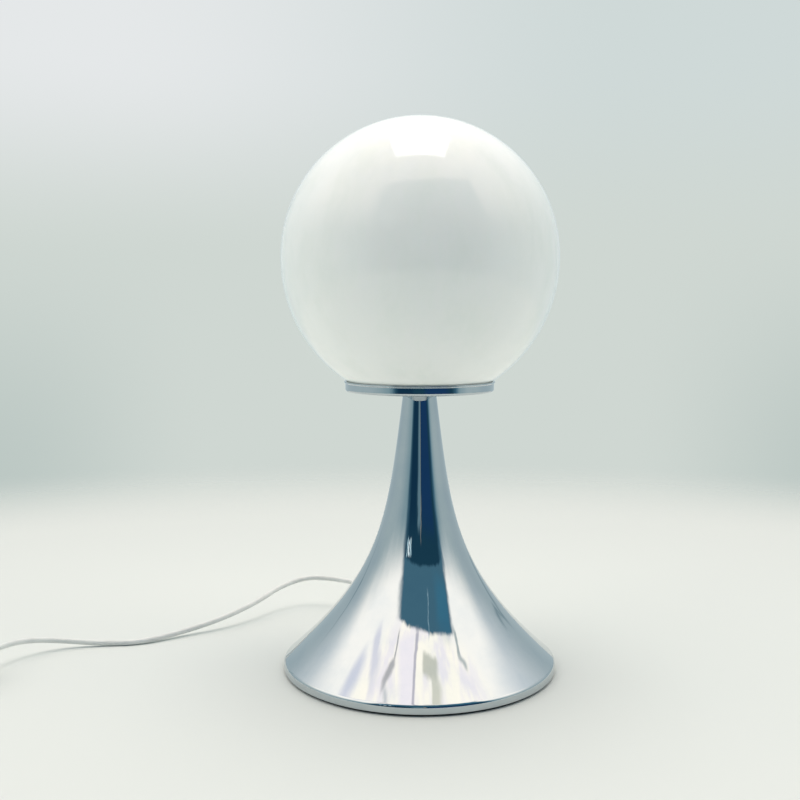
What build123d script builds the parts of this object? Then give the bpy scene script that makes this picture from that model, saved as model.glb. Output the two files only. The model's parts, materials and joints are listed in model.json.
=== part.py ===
from build123d import *

import math
import os

# Table lamp with an opal glass globe on a chromed trumpet base. Millimetres, +Z up.
# The origin is on the table, under the centre of the base; -Y is the front and the flex leaves behind.

os.makedirs("parts", exist_ok=True)

# ---------------------------------------------------------------- driving dimensions

# clearances
SEAT_GAP = 0.3  # glass or flex above what carries it
RUN_GAP = 0.06  # round pieces that turn or slide in one another, all round
ROD_GAP = 0.2  # holes over the threaded rod, all round

# felt and base plate
FELT = 1.0
FELT_EDGE = 0.8  # the felt ends this far inside the plate's edge
FELT_HOLE_RADIUS = 24.0
PLATE = 1.0
PLATE_SETBACK = 2.1  # the plate ends this far inside the skirt
RAISE_RADIUS = 22.0  # the raised centre that hides the lower nut
RAISE_HEIGHT = 11.0

# trumpet base, spun from sheet
SHEET = 1.2
BASE_RADIUS = 125.4
SKIRT_HEIGHT = 6.9  # the upright band between the hem and the flare
HEM_WIDTH = 13.0
HEM_CORNER = 0.8
RIM_ROUND = 2.0  # rounding between the upright band and the flare
FLARE_START_ANGLE = 41.0  # rise of the flare where it leaves the band, from level
FLARE_END_ANGLE = 82.8  # and where it meets the neck
FLARE_START_PULL = 123.6
FLARE_END_PULL = 116.6
NECK_RADIUS = 14.8
NECK_HEIGHT = 256.3

# ballast
BALLAST_SETBACK = 12.4  # the ballast ends this far inside the hem
BALLAST_HEIGHT = 9.0
BALLAST_HUB_RADIUS = 30.0
BALLAST_HUB = 4.0  # iron above the plate's raised centre

# threaded rod, nuts and washers
ROD_RADIUS = 5.0
ROD_BORE_RADIUS = 4.0
ROD_BELOW_NUT = 1.0
ROD_ABOVE_NUT = 5.5
NUT_FLATS = 14.0
NUT_HEIGHT = 4.5
WASHER = 1.0
WASHER_RADIUS = 10.5
SLOT_BOTTOM = 40.0  # where the flex enters the rod
SLOT_TOP = 70.0
SLOT_WIDTH = 6.6

# gallery dish and its gasket
DISH_GAP = 0.38  # between the dish's rim and the glass
DISH_HEIGHT = 9.2
DISH_CORNER = 2.2
BEAD_REACH = 0.95  # how far the bead stands out of the wall
BEAD_HEIGHT = 2.0
GASKET = 2.0
GASKET_WIDTH = 8.0
GASKET_MARGIN = 2.6  # the gasket reaches this far outside the glass

# glass globe: round above its middle, a little fuller below
GLOBE_RADIUS = 125.0
GLOBE_DROP = 130.2  # from the middle to where the lower half would close
MOUTH_RADIUS = 56.4
GLASS = 3.0

# lampholder for the common 27 mm screw cap
HOLDER_RADIUS = 20.0
HOLDER_WALL = 2.0
HOLDER_HUB_RADIUS = 8.0
HOLDER_HUB = 3.0
HOLDER_CONE = 10.0
HOLDER_SKIRT = 10.0
HOLDER_BODY = 29.0
INSERT = 6.0
SLEEVE = 0.5
SLEEVE_HEIGHT = 22.0
CONTACT_RISE = 3.3  # top of the spring tongue above the insert
CONTACT_WIDTH = 5.0
TERMINAL_SPREAD = 9.0
TERMINAL_HEAD_RADIUS = 2.6
TERMINAL_HEAD = 1.6
TERMINAL_SHANK_RADIUS = 1.5

# bulb
BULB_RADIUS = 30.0
BULB_LENGTH = 104.0
BULB_GLASS = 0.8
BULB_NECK_RADIUS = 12.4
CAP_RADIUS = 13.15
CAP_FOOT = 6.1  # the cap starts this far above the contact tip
CAP_HEIGHT = 19.0
CAP_WALL = 0.5
TIP_RADIUS = 4.8
TIP_HEIGHT = 2.0
MOUNT_RADIUS = 3.5
MOUNT_HEIGHT = 24.0
FILAMENT_RADIUS = 0.4
FILAMENT_SPREAD = 9.0

# flex
CORD_RADIUS = 2.7
CORE_RADIUS = 1.1
BEND_SHARE = 0.45  # share of the shorter run that an arc takes up
BOOT_RADIUS = 5.0
BOOT_TIP_RADIUS = 3.5
BOOT_FLANGE_RADIUS = 8.5
BOOT_FLANGE = 1.4
BOOT_INSIDE = 5.2  # of the boot inside the flare
BOOT_TAPER_START = 7.0  # of the boot outside the flare, before its taper
BOOT_OUTSIDE = 25.2
EXIT_HEIGHT = 27.0
EXIT_ANGLE = 112.05  # where the flex leaves, from +X
EXIT_RUN = 26.1  # of straight flex outside the boot
CLAMP_AT = 52.0  # the flex clamp, from the lamp's axis
CLAMP_LENGTH = 26.0
CLAMP_WIDTH = 8.0
CLAMP_HEIGHT = 8.0
CLAMP_SCREW_SPREAD = 18.0
CLAMP_SCREW_RADIUS = 1.8
CLAMP_SCREW_HEAD_RADIUS = 3.4
CLAMP_SCREW_HEAD = 2.2
CLAMP_SCREW_DEPTH = 6.0
FLEX_DIP = 12.1  # the flex turns down this far inside the boot's end
FLEX_LANDING = 14.0  # it lies level from this far outside the clamp
FLEX_LIFT = 16.0  # until this far inside it

# switch on the flex
SWITCH_LENGTH = 60.0
SWITCH_WIDTH = 26.0
SWITCH_HEIGHT = 20.4
SWITCH_WALL = 1.6
SWITCH_CORNER = 7.0
SWITCH_EDGE = 2.5
ROCKER_LENGTH = 21.6
ROCKER_WIDTH = 10.6
ROCKER_TILT = 6.5  # each way from level
ROCKER_PIVOT = 6.2  # height of the pivot above the parting line
ROCKER_RISE = 5.0  # of the rocker's ends above the pivot
ROCKER_DIP = 1.2  # the rocker's middle lies this much lower than its ends
ROCKER_DEPTH = 3.0  # of the rocker below the pivot
PIVOT_RADIUS = 1.4
PIVOT_LENGTH = 2.0
SWITCH_SCREW_RADIUS = 1.5
SWITCH_SCREW_HEAD_RADIUS = 2.8
SWITCH_POST_RADIUS = 2.6
SWITCH_SCREW_X = 19.0
SWITCH_POST_MERGE = 0.5  # how far a screw post runs into the side wall
CONTACT_BLOCK = (6.0, 6.0, 9.6)
CONTACT_BLOCK_AT = 10.0
BRIDGE = (13.0, 3.0, 0.6)
FLEX_END = 10.0  # of sheath inside each end of the switch

# plug: the flat two-pin kind
PLUG_WIDTH = 35.3
PLUG_FLAT_WIDTH = 26.1
PLUG_THICKNESS = 13.7
PLUG_FRONT = 20.0
PLUG_REAR = 15.0
PLUG_BOOT = 18.0
PLUG_BOOT_RADIUS = 5.2
PIN_RADIUS = 2.0
PIN_TIP = 9.0
PIN_CORE_RADIUS = 1.5
SLEEVE_RADIUS = 1.8
SLEEVE_LENGTH = 10.0
PIN_SPACING = 18.6
PIN_ROOT = 8.0

# past its straight run the flex lies along these points: round behind the lamp, along the table
TABLE_ROUTE = [
    (-69, 170, 30.7),
    (-93, 183, 31.5),
    (-126, 189, 32.2),
    (-154, 169, 26.1),
    (-174, 132, 19.1),
    (-203, 101, 11.5),
    (-237, 79, 4.9),
    (-275, 48, 2.8),
    (-314, 45, 2.9),
    (-350, 36, 8.4),
    (-375, 11, 16.8),
    (-386.4, -19.2, 20.6),
    (-394, -42, 20.6),
]
# from the switch round to the coil
TAIL_ROUTE = [
    (-413, -99, 20.6),
    (-420, -120, 20.6),
    (-439, -131, 18.4),
    (-461, -127, 14.4),
    (-475, -110, 10.8),
    (-474, -87, 8.4),
    (-468, -66, 7.4),
]
# from the coil to the plug
PLUG_ROUTE = [
    (-471.8, -62, 2.8),
    (-471.8, -48, 3.4),
    (-471.8, -34, 6.85),
    (-471.8, -22, 6.85),
]

# the coil of flex: turns side by side in two layers
COIL_CENTRE = (-434, -60)
COIL_RADIUS = 32.4  # to the middle of its turns
COIL_WIDTH = 16.2
COIL_HEIGHT = 10.4

# ---------------------------------------------------------------- heights and directions

HEM_BOTTOM = FELT + PLATE
BAND_TOP = HEM_BOTTOM + SKIRT_HEIGHT
PLATE_RADIUS = BASE_RADIUS - PLATE_SETBACK
RAISE_TOP = HEM_BOTTOM + RAISE_HEIGHT
LOWER_WASHER_BOTTOM = RAISE_TOP - PLATE - WASHER
LOWER_NUT_BOTTOM = LOWER_WASHER_BOTTOM - NUT_HEIGHT
BALLAST_RADIUS = BASE_RADIUS - HEM_WIDTH - BALLAST_SETBACK
BALLAST_TOP = HEM_BOTTOM + BALLAST_HEIGHT
HUB_TOP = RAISE_TOP + BALLAST_HUB
DISH_FLOOR = NECK_HEIGHT + SHEET
DISH_TOP = NECK_HEIGHT + DISH_HEIGHT
UPPER_NUT_BOTTOM = DISH_FLOOR + WASHER
UPPER_NUT_TOP = UPPER_NUT_BOTTOM + NUT_HEIGHT
ROD_BOTTOM = LOWER_NUT_BOTTOM - ROD_BELOW_NUT
ROD_TOP = UPPER_NUT_TOP + ROD_ABOVE_NUT
MOUTH = DISH_FLOOR + GASKET + SEAT_GAP
GLOBE_MIDDLE = GLOBE_DROP * math.sqrt(1 - (MOUTH_RADIUS / GLOBE_RADIUS) ** 2)
GLOBE_CENTRE = MOUTH + GLOBE_MIDDLE
GLASS_AT_RIM = GLOBE_RADIUS * math.sqrt(1 - ((GLOBE_CENTRE - DISH_TOP) / GLOBE_DROP) ** 2)
DISH_RADIUS = GLASS_AT_RIM + DISH_GAP + SHEET
GASKET_OUTER_RADIUS = MOUTH_RADIUS + GASKET_MARGIN
HOLDER_BOTTOM = UPPER_NUT_TOP + SEAT_GAP
CONE_BOTTOM = HOLDER_BOTTOM + HOLDER_HUB
SKIRT_BOTTOM = CONE_BOTTOM + HOLDER_CONE
BODY_BOTTOM = SKIRT_BOTTOM + HOLDER_SKIRT
INSERT_BOTTOM = BODY_BOTTOM - INSERT
BULB_BOTTOM = BODY_BOTTOM + CONTACT_RISE + SEAT_GAP
CAP_BOTTOM = BULB_BOTTOM + CAP_FOOT
CAP_TOP = CAP_BOTTOM + CAP_HEIGHT
BULB_CENTRE = BULB_BOTTOM + BULB_LENGTH - BULB_RADIUS

CLAMPED_HEIGHT = BALLAST_TOP + SEAT_GAP + CORD_RADIUS

# a frame whose x runs from the lamp's axis towards where the flex leaves
REAR = Location((0, 0, 0), (0, 0, EXIT_ANGLE))
SWITCH_PLACE = Plane(
    origin=(Vector(*TABLE_ROUTE[-1]) + Vector(*TAIL_ROUTE[0])) / 2,
    x_dir=Vector(*TAIL_ROUTE[0]) - Vector(*TABLE_ROUTE[-1]),
    z_dir=(0, 0, 1),
)
PLUG_PLACE = Plane(origin=PLUG_ROUTE[-1], x_dir=(0, 1, 0), z_dir=(0, 0, 1))

HALVINGS = 40
BOTTOM = (Align.CENTER, Align.CENTER, Align.MIN)
TOP = (Align.CENTER, Align.CENTER, Align.MAX)

# ---------------------------------------------------------------- helpers


def save(node, shape):
    """Write one node to its own file."""
    export_step(shape, os.path.join("parts", node + ".step"))


def turned(*outline):
    """Solid turned about the vertical axis from edges drawn as (radius, height)."""
    return revolve(make_face(Plane.XZ * (Curve() + list(outline))), Axis.Z)


def turned_polygon(*points):
    """The same, from a closed polygon."""
    return turned(Polyline(*points, close=True))


def tube(outer, inner, bottom, height):
    """Upright tube, or a washer when it is low."""
    return Pos(0, 0, bottom) * (
        Cylinder(outer, height, align=BOTTOM) - Cylinder(inner, height, align=BOTTOM)
    )


def hex_nut(bottom):
    """Nut on the threaded rod."""
    body = extrude(RegularPolygon(NUT_FLATS / 2, 6, major_radius=False), NUT_HEIGHT)
    return Pos(0, 0, bottom) * (body - Cylinder(ROD_RADIUS, NUT_HEIGHT, align=BOTTOM))


def along_x(radius, start, end):
    """Level cylinder from one x to another."""
    return Location((start, 0, 0), (0, 90, 0)) * Cylinder(radius, end - start, align=BOTTOM)


def cone_along_x(radius, end_radius, start, end):
    """Level cone from one x to another."""
    return Location((start, 0, 0), (0, 90, 0)) * Cone(
        radius, end_radius, end - start, align=BOTTOM
    )


def circles(solid, radius, height):
    """Circular edges of a turned solid with this radius at this height."""
    return [
        edge
        for edge in solid.edges().filter_by(GeomType.CIRCLE)
        if abs(edge.radius - radius) < 0.01 and abs(edge.arc_center.Z - height) < 0.01
    ]


def bend_radii(points):
    """One arc radius for each corner of a route, as large as its two runs allow."""
    radii = []
    for before, corner, after in zip(points, points[1:], points[2:]):
        arriving = Vector(*corner) - Vector(*before)
        leaving = Vector(*after) - Vector(*corner)
        half_turn = math.radians(arriving.get_angle(leaving)) / 2
        run = min(arriving.length, leaving.length)
        radii.append(BEND_SHARE * run / math.tan(half_turn))
    return radii


def flexible(name, points, radius):
    """Round flex or wire along straight runs joined by tangent arcs."""
    radii = bend_radii(points)
    path = FilletPolyline(*points, radius=radii)
    section = Plane(origin=path @ 0, z_dir=path % 0) * Circle(radius)
    body = sweep(section, path=path)
    share = body.volume / (math.pi * radius**2 * path.length)
    print(f"{name}: {path.length:.0f} mm long, volume / (section x length) {share:.4f}")
    print("  radii", " ".join(f"{r:.0f}" for r in radii))
    return body


def flare(inset):
    """Line of the trumpet's flare, this far inside its outer face."""
    start, end = math.radians(FLARE_START_ANGLE), math.radians(FLARE_END_ANGLE)
    low_r = BASE_RADIUS - inset
    low_z = BAND_TOP + inset * math.tan(start) - inset / math.cos(start)
    high_z = NECK_HEIGHT - max(inset, 0)
    high_r = NECK_RADIUS + (NECK_HEIGHT - high_z) / math.tan(end) - inset / math.sin(end)
    return Bezier(
        (low_r, low_z),
        (
            low_r - FLARE_START_PULL * math.cos(start),
            low_z + FLARE_START_PULL * math.sin(start),
        ),
        (
            high_r + FLARE_END_PULL * math.cos(end),
            high_z - FLARE_END_PULL * math.sin(end),
        ),
        (high_r, high_z),
    )


def flare_reach(height):
    """Radius of the flare's outer face at a height, by halving."""
    line = flare(0)
    low, high = 0.0, 1.0
    for _ in range(HALVINGS):
        middle = (low + high) / 2
        if (line @ middle).Y < height:
            low = middle
        else:
            high = middle
    return (line @ low).X


def outward(reach):
    """Point on the line along which the flex leaves, this far from the lamp's axis."""
    angle = math.radians(EXIT_ANGLE)
    return (reach * math.cos(angle), reach * math.sin(angle), EXIT_HEIGHT)


EXIT_WALL = flare_reach(EXIT_HEIGHT)
EXIT_REACH = EXIT_WALL + BOOT_OUTSIDE
CORD_ROUTE = [outward(EXIT_REACH), outward(EXIT_REACH + EXIT_RUN)] + TABLE_ROUTE

# ---------------------------------------------------------------- base


def trumpet_base():
    """Spun shell: hem, upright band, flare and closed neck."""
    outside, inside = flare(0), flare(SHEET)
    rod_hole = ROD_RADIUS + ROD_GAP
    shell = turned(
        outside,
        Polyline(outside @ 1, (rod_hole, NECK_HEIGHT), (rod_hole, NECK_HEIGHT - SHEET), inside @ 1),
        inside,
        Polyline(
            inside @ 0,
            (BASE_RADIUS - SHEET, HEM_BOTTOM + SHEET),
            (BASE_RADIUS - HEM_WIDTH, HEM_BOTTOM + SHEET),
            (BASE_RADIUS - HEM_WIDTH, HEM_BOTTOM),
            (BASE_RADIUS, HEM_BOTTOM),
            outside @ 0,
        ),
    )
    shell = fillet(circles(shell, BASE_RADIUS, BAND_TOP), RIM_ROUND)
    shell = fillet(circles(shell, BASE_RADIUS, HEM_BOTTOM), HEM_CORNER)
    flex_hole = along_x(BOOT_RADIUS + RUN_GAP, EXIT_WALL - BOOT_INSIDE, BASE_RADIUS)
    return shell - REAR * Pos(0, 0, EXIT_HEIGHT) * flex_hole


def base_plate():
    """Pressed cover under the hem, raised in the middle over the lower nut."""
    rod_hole = ROD_RADIUS + ROD_GAP
    return turned_polygon(
        (rod_hole, RAISE_TOP),
        (RAISE_RADIUS, RAISE_TOP),
        (RAISE_RADIUS, HEM_BOTTOM),
        (PLATE_RADIUS, HEM_BOTTOM),
        (PLATE_RADIUS, FELT),
        (RAISE_RADIUS - PLATE, FELT),
        (RAISE_RADIUS - PLATE, RAISE_TOP - PLATE),
        (rod_hole, RAISE_TOP - PLATE),
    )


def ballast_disc():
    """Cast ring whose hub sits over the plate's raised centre."""
    rod_hole = ROD_RADIUS + ROD_GAP
    recess = RAISE_RADIUS + SEAT_GAP
    disc = turned_polygon(
        (rod_hole, HUB_TOP),
        (BALLAST_HUB_RADIUS, HUB_TOP),
        (BALLAST_HUB_RADIUS + BALLAST_HUB, BALLAST_TOP),
        (BALLAST_RADIUS, BALLAST_TOP),
        (BALLAST_RADIUS, HEM_BOTTOM),
        (recess, HEM_BOTTOM),
        (recess, RAISE_TOP),
        (rod_hole, RAISE_TOP),
    )
    hole = Cylinder(CLAMP_SCREW_RADIUS, CLAMP_SCREW_DEPTH, align=TOP)
    for side in (-1, 1):
        disc -= REAR * Pos(CLAMP_AT, side * CLAMP_SCREW_SPREAD / 2, BALLAST_TOP) * hole
    return disc


def stem_tube():
    """Hollow threaded rod with a slot where the flex goes in."""
    rod = tube(ROD_RADIUS, ROD_BORE_RADIUS, ROD_BOTTOM, ROD_TOP - ROD_BOTTOM)
    slot = extrude(Plane.YZ * SlotOverall(SLOT_TOP - SLOT_BOTTOM, SLOT_WIDTH, 90), ROD_RADIUS)
    return rod - REAR * Pos(0, 0, (SLOT_BOTTOM + SLOT_TOP) / 2) * slot


def cord_boot():
    """Tapered strain relief whose flange follows the slope of the flare."""
    level = Pos(0, 0, EXIT_HEIGHT)
    outside, raised = flare(0), flare(-BOOT_FLANGE)
    band = turned(outside, Line(outside @ 1, raised @ 1), raised, Line(raised @ 0, outside @ 0))
    flange = band & (REAR * level * along_x(BOOT_FLANGE_RADIUS, NECK_RADIUS, EXIT_REACH))
    inner_end, taper_start = EXIT_WALL - BOOT_INSIDE, EXIT_WALL + BOOT_TAPER_START
    stub = along_x(BOOT_RADIUS, inner_end, taper_start)
    taper = cone_along_x(BOOT_RADIUS, BOOT_TIP_RADIUS, taper_start, EXIT_REACH)
    bore = along_x(CORD_RADIUS, inner_end, EXIT_REACH)
    return flange + REAR * level * (stub + taper) - REAR * level * bore


def cord_clamp():
    """Bar that holds the flex down on the ballast."""
    bar = Pos(CLAMP_AT, 0, BALLAST_TOP) * Box(
        CLAMP_WIDTH, CLAMP_LENGTH, CLAMP_HEIGHT, align=BOTTOM
    )
    start, end = CLAMP_AT - CLAMP_WIDTH / 2, CLAMP_AT + CLAMP_WIDTH / 2
    groove = Pos(0, 0, CLAMPED_HEIGHT) * along_x(CORD_RADIUS + RUN_GAP, start, end)
    below = Pos(CLAMP_AT, 0, BALLAST_TOP) * Box(
        CLAMP_WIDTH, 2 * (CORD_RADIUS + RUN_GAP), CLAMPED_HEIGHT - BALLAST_TOP, align=BOTTOM
    )
    hole = Cylinder(CLAMP_SCREW_RADIUS, CLAMP_HEIGHT, align=BOTTOM)
    bar = bar - groove - below
    for side in (-1, 1):
        bar -= Pos(CLAMP_AT, side * CLAMP_SCREW_SPREAD / 2, BALLAST_TOP) * hole
    return REAR * bar


def cord_clamp_screws():
    """Two screws through the clamp into the ballast."""
    length = CLAMP_HEIGHT + CLAMP_SCREW_DEPTH
    screw = Cylinder(CLAMP_SCREW_RADIUS, length, align=TOP) + Cylinder(
        CLAMP_SCREW_HEAD_RADIUS, CLAMP_SCREW_HEAD, align=BOTTOM
    )
    height = BALLAST_TOP + CLAMP_HEIGHT
    places = [Pos(CLAMP_AT, side * CLAMP_SCREW_SPREAD / 2, height) for side in (-1, 1)]
    return Compound(children=[REAR * place * screw for place in places])


def inner_flex():
    """The flex from the boot over the ballast and up the rod."""
    rise = SLOT_BOTTOM + 13
    points = [
        (EXIT_REACH, EXIT_HEIGHT),
        (EXIT_WALL - BOOT_INSIDE - FLEX_DIP, EXIT_HEIGHT),
        (CLAMP_AT + FLEX_LANDING, CLAMPED_HEIGHT),
        (CLAMP_AT - FLEX_LIFT, CLAMPED_HEIGHT),
        (0, rise),
        (0, ROD_TOP),
    ]
    return REAR * flexible("inner flex", [(r, 0, z) for r, z in points], CORD_RADIUS)


save("trumpet_base", trumpet_base())
save("base_plate", base_plate())
save("felt_pad", tube(PLATE_RADIUS - FELT_EDGE, FELT_HOLE_RADIUS, 0, FELT))
save("ballast_disc", ballast_disc())
save("ballast_nut", hex_nut(HUB_TOP))
save("stem_tube", stem_tube())
save("stem_lower_nut", hex_nut(LOWER_NUT_BOTTOM))
save(
    "stem_lower_washer",
    tube(WASHER_RADIUS, ROD_RADIUS + ROD_GAP, LOWER_WASHER_BOTTOM, WASHER),
)
save("cord_boot", cord_boot())
save("cord_clamp", cord_clamp())
save("cord_clamp_screws", cord_clamp_screws())
save("inner_flex", inner_flex())

# ---------------------------------------------------------------- gallery and globe


def gallery_dish():
    """Shallow dish with a small outward bead round its top."""
    rod_hole = ROD_RADIUS + ROD_GAP
    bead_bottom = DISH_TOP - BEAD_HEIGHT
    dish = turned_polygon(
        (rod_hole, NECK_HEIGHT),
        (DISH_RADIUS, NECK_HEIGHT),
        (DISH_RADIUS, bead_bottom),
        (DISH_RADIUS + BEAD_REACH, bead_bottom + BEAD_REACH),
        (DISH_RADIUS + BEAD_REACH, DISH_TOP),
        (DISH_RADIUS - SHEET, DISH_TOP),
        (DISH_RADIUS - SHEET, DISH_FLOOR),
        (rod_hole, DISH_FLOOR),
    )
    dish = fillet(circles(dish, DISH_RADIUS, NECK_HEIGHT), DISH_CORNER)
    dish = fillet(circles(dish, DISH_RADIUS - SHEET, DISH_FLOOR), DISH_CORNER - SHEET)
    return fillet(circles(dish, DISH_RADIUS + BEAD_REACH, DISH_TOP), BEAD_REACH / 2)


def globe_outline(inset):
    """Outline of the globe from its mouth to its top: part of an ellipse, then of a circle."""
    radius, drop = GLOBE_RADIUS - inset, GLOBE_DROP - inset
    angle = math.asin(GLOBE_MIDDLE / drop)
    pull = 4 / 3 * math.tan(angle / 4)
    mouth_r, mouth_z = radius * math.cos(angle), GLOBE_CENTRE - GLOBE_MIDDLE
    lower = Bezier(
        (mouth_r, mouth_z),
        (
            mouth_r + pull * radius * math.sin(angle),
            mouth_z + pull * drop * math.cos(angle),
        ),
        (radius, GLOBE_CENTRE - pull * drop),
        (radius, GLOBE_CENTRE),
    )
    upper = CenterArc((0, GLOBE_CENTRE), radius, 0, 90)
    return lower, upper


def glass_globe():
    """Blown globe with an open mouth below."""
    lower, upper = globe_outline(0)
    inner_lower, inner_upper = globe_outline(GLASS)
    return turned(
        lower,
        upper,
        Line(upper @ 1, inner_upper @ 1),
        inner_upper,
        inner_lower,
        Line(inner_lower @ 0, lower @ 0),
    )


save("gallery_dish", gallery_dish())
save(
    "stem_upper_washer",
    tube(WASHER_RADIUS, ROD_RADIUS + ROD_GAP, DISH_FLOOR, WASHER),
)
save("stem_upper_nut", hex_nut(UPPER_NUT_BOTTOM))
save(
    "globe_gasket",
    tube(GASKET_OUTER_RADIUS, GASKET_OUTER_RADIUS - GASKET_WIDTH, DISH_FLOOR, GASKET),
)
save("glass_globe", glass_globe())

# ---------------------------------------------------------------- lampholder


def holder_cap():
    """Lower half of the lampholder, threaded on the rod."""
    bore = ROD_RADIUS
    inner = HOLDER_RADIUS - HOLDER_WALL
    return turned_polygon(
        (bore, HOLDER_BOTTOM),
        (HOLDER_HUB_RADIUS, HOLDER_BOTTOM),
        (HOLDER_HUB_RADIUS, CONE_BOTTOM),
        (HOLDER_RADIUS, SKIRT_BOTTOM),
        (HOLDER_RADIUS, BODY_BOTTOM),
        (inner, BODY_BOTTOM),
        (inner, SKIRT_BOTTOM + HOLDER_WALL / 2),
        (HOLDER_HUB_RADIUS, CONE_BOTTOM + HOLDER_WALL),
        (bore, CONE_BOTTOM + HOLDER_WALL),
    )


def holder_body():
    """Upper half of the lampholder, with a lip over the contact sleeve."""
    inner = HOLDER_RADIUS - HOLDER_WALL
    lip = CAP_RADIUS + RUN_GAP + SLEEVE
    top = BODY_BOTTOM + HOLDER_BODY
    return turned_polygon(
        (inner, BODY_BOTTOM),
        (HOLDER_RADIUS, BODY_BOTTOM),
        (HOLDER_RADIUS, top),
        (lip, top),
        (lip, top - HOLDER_WALL),
        (inner, top - HOLDER_WALL),
    )


def holder_insert():
    """Ceramic disc in the lampholder that carries the contacts."""
    disc = Pos(0, 0, INSERT_BOTTOM) * Cylinder(
        HOLDER_RADIUS - HOLDER_WALL - RUN_GAP, INSERT, align=BOTTOM
    )
    for side in (-1, 1):
        disc -= Pos(side * TERMINAL_SPREAD, 0, INSERT_BOTTOM) * Cylinder(
            TERMINAL_SHANK_RADIUS, INSERT - HOLDER_WALL, align=BOTTOM
        )
    return disc


def terminal_screws():
    """Two screws under the insert that take the cores."""
    screw = Cylinder(TERMINAL_SHANK_RADIUS, INSERT - HOLDER_WALL, align=BOTTOM) + Cylinder(
        TERMINAL_HEAD_RADIUS, TERMINAL_HEAD, align=TOP
    )
    places = [Pos(side * TERMINAL_SPREAD, 0, INSERT_BOTTOM) for side in (-1, 1)]
    return Compound(children=[place * screw for place in places])


def screw_contact():
    """Metal sleeve that the bulb's cap screws into."""
    inner = CAP_RADIUS + RUN_GAP
    return turned_polygon(
        (inner + SLEEVE, BODY_BOTTOM),
        (inner + SLEEVE, BODY_BOTTOM + SLEEVE_HEIGHT),
        (inner, BODY_BOTTOM + SLEEVE_HEIGHT),
        (inner, BODY_BOTTOM + SLEEVE),
        (inner / 2, BODY_BOTTOM + SLEEVE),
        (inner / 2, BODY_BOTTOM),
    )


def centre_contact():
    """Spring tongue under the bulb's tip."""
    reach = (CAP_RADIUS + RUN_GAP) / 2 - 1
    rise = CONTACT_RISE - SLEEVE
    line = [(-reach, 0), (-0.6 * reach, 0), (-0.3 * reach, rise), (0.5 * reach, rise)]
    thick = [(x, z + SLEEVE) for x, z in reversed(line)]
    strip = make_face(Plane.XZ * Polyline(*line, *thick, close=True))
    return Pos(0, CONTACT_WIDTH / 2, BODY_BOTTOM) * extrude(strip, CONTACT_WIDTH)


def core_wires():
    """Two cores from the flex to the terminals."""
    low = ROD_TOP
    high = INSERT_BOTTOM - TERMINAL_HEAD - CORE_RADIUS
    wires = []
    for side in (-1, 1):
        points = [
            (side * CORE_RADIUS * 1.15, 0, low),
            (side * CORE_RADIUS * 1.15, 0, low + 4),
            (side * TERMINAL_SPREAD / 2, 0, high),
            (side * TERMINAL_SPREAD, 0, high),
        ]
        wires.append(flexible("core", points, CORE_RADIUS))
    return Compound(children=wires)


save("holder_cap", holder_cap())
save("holder_body", holder_body())
save("holder_insert", holder_insert())
save("terminal_screws", terminal_screws())
save("screw_contact", screw_contact())
save("centre_contact", centre_contact())
save("core_wires", core_wires())

# ---------------------------------------------------------------- bulb


def bulb_outline(inset):
    """Outline of the bulb's glass from its neck to its top."""
    shoulder = math.radians(-38)
    radius = BULB_RADIUS - inset
    neck_radius = BULB_NECK_RADIUS - inset
    neck_end = (neck_radius, CAP_TOP)
    meeting = (radius * math.cos(shoulder), BULB_CENTRE + radius * math.sin(shoulder))
    pull = (meeting[1] - neck_end[1]) / 2
    tangent = (-math.sin(shoulder) * pull, math.cos(shoulder) * pull)
    neck = Line((neck_radius, CAP_TOP - CAP_HEIGHT / 3), neck_end)
    shoulder_line = Bezier(
        neck_end,
        (neck_end[0], neck_end[1] + pull),
        (meeting[0] - tangent[0], meeting[1] - tangent[1]),
        meeting,
    )
    top = ThreePointArc(
        meeting,
        (radius * math.cos(math.radians(20)), BULB_CENTRE + radius * math.sin(math.radians(20))),
        (0, BULB_CENTRE + radius),
    )
    return neck, shoulder_line, top


def bulb_glass():
    """Thin glass envelope."""
    outer, inner = bulb_outline(0), bulb_outline(BULB_GLASS)
    return turned(
        *outer,
        Line(outer[-1] @ 1, inner[-1] @ 1),
        *inner,
        Line(inner[0] @ 0, outer[0] @ 0),
    )


def bulb_cap():
    """Metal screw cap, shown without its thread."""
    slope = CAP_RADIUS - TIP_RADIUS * 2
    return turned_polygon(
        (TIP_RADIUS * 2, CAP_BOTTOM),
        (CAP_RADIUS, CAP_BOTTOM + slope / 2),
        (CAP_RADIUS, CAP_TOP),
        (CAP_RADIUS - CAP_WALL, CAP_TOP),
        (CAP_RADIUS - CAP_WALL, CAP_BOTTOM + slope / 2 + CAP_WALL / 2),
        (TIP_RADIUS * 2, CAP_BOTTOM + CAP_WALL),
    )


def bulb_insulator():
    """Dark glass cone between the cap and the contact tip."""
    bottom = BULB_BOTTOM + TIP_HEIGHT + RUN_GAP
    return turned_polygon(
        (0, bottom),
        (TIP_RADIUS, bottom),
        (TIP_RADIUS * 2, CAP_BOTTOM),
        (TIP_RADIUS * 2, CAP_BOTTOM + CAP_WALL),
        (0, CAP_BOTTOM + CAP_WALL),
    )


def bulb_tip():
    """Round solder contact at the bulb's foot."""
    tip = Pos(0, 0, BULB_BOTTOM) * Cylinder(TIP_RADIUS, TIP_HEIGHT, align=BOTTOM)
    return fillet(circles(tip, TIP_RADIUS, BULB_BOTTOM), TIP_HEIGHT / 2)


def bulb_mount():
    """Glass stem that carries the filament."""
    foot = CAP_TOP - CAP_HEIGHT / 3
    return turned_polygon(
        (0, foot),
        (BULB_NECK_RADIUS - BULB_GLASS, foot),
        (MOUNT_RADIUS, foot + MOUNT_HEIGHT / 2),
        (MOUNT_RADIUS, foot + MOUNT_HEIGHT),
        (0, foot + MOUNT_HEIGHT),
    )


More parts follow.
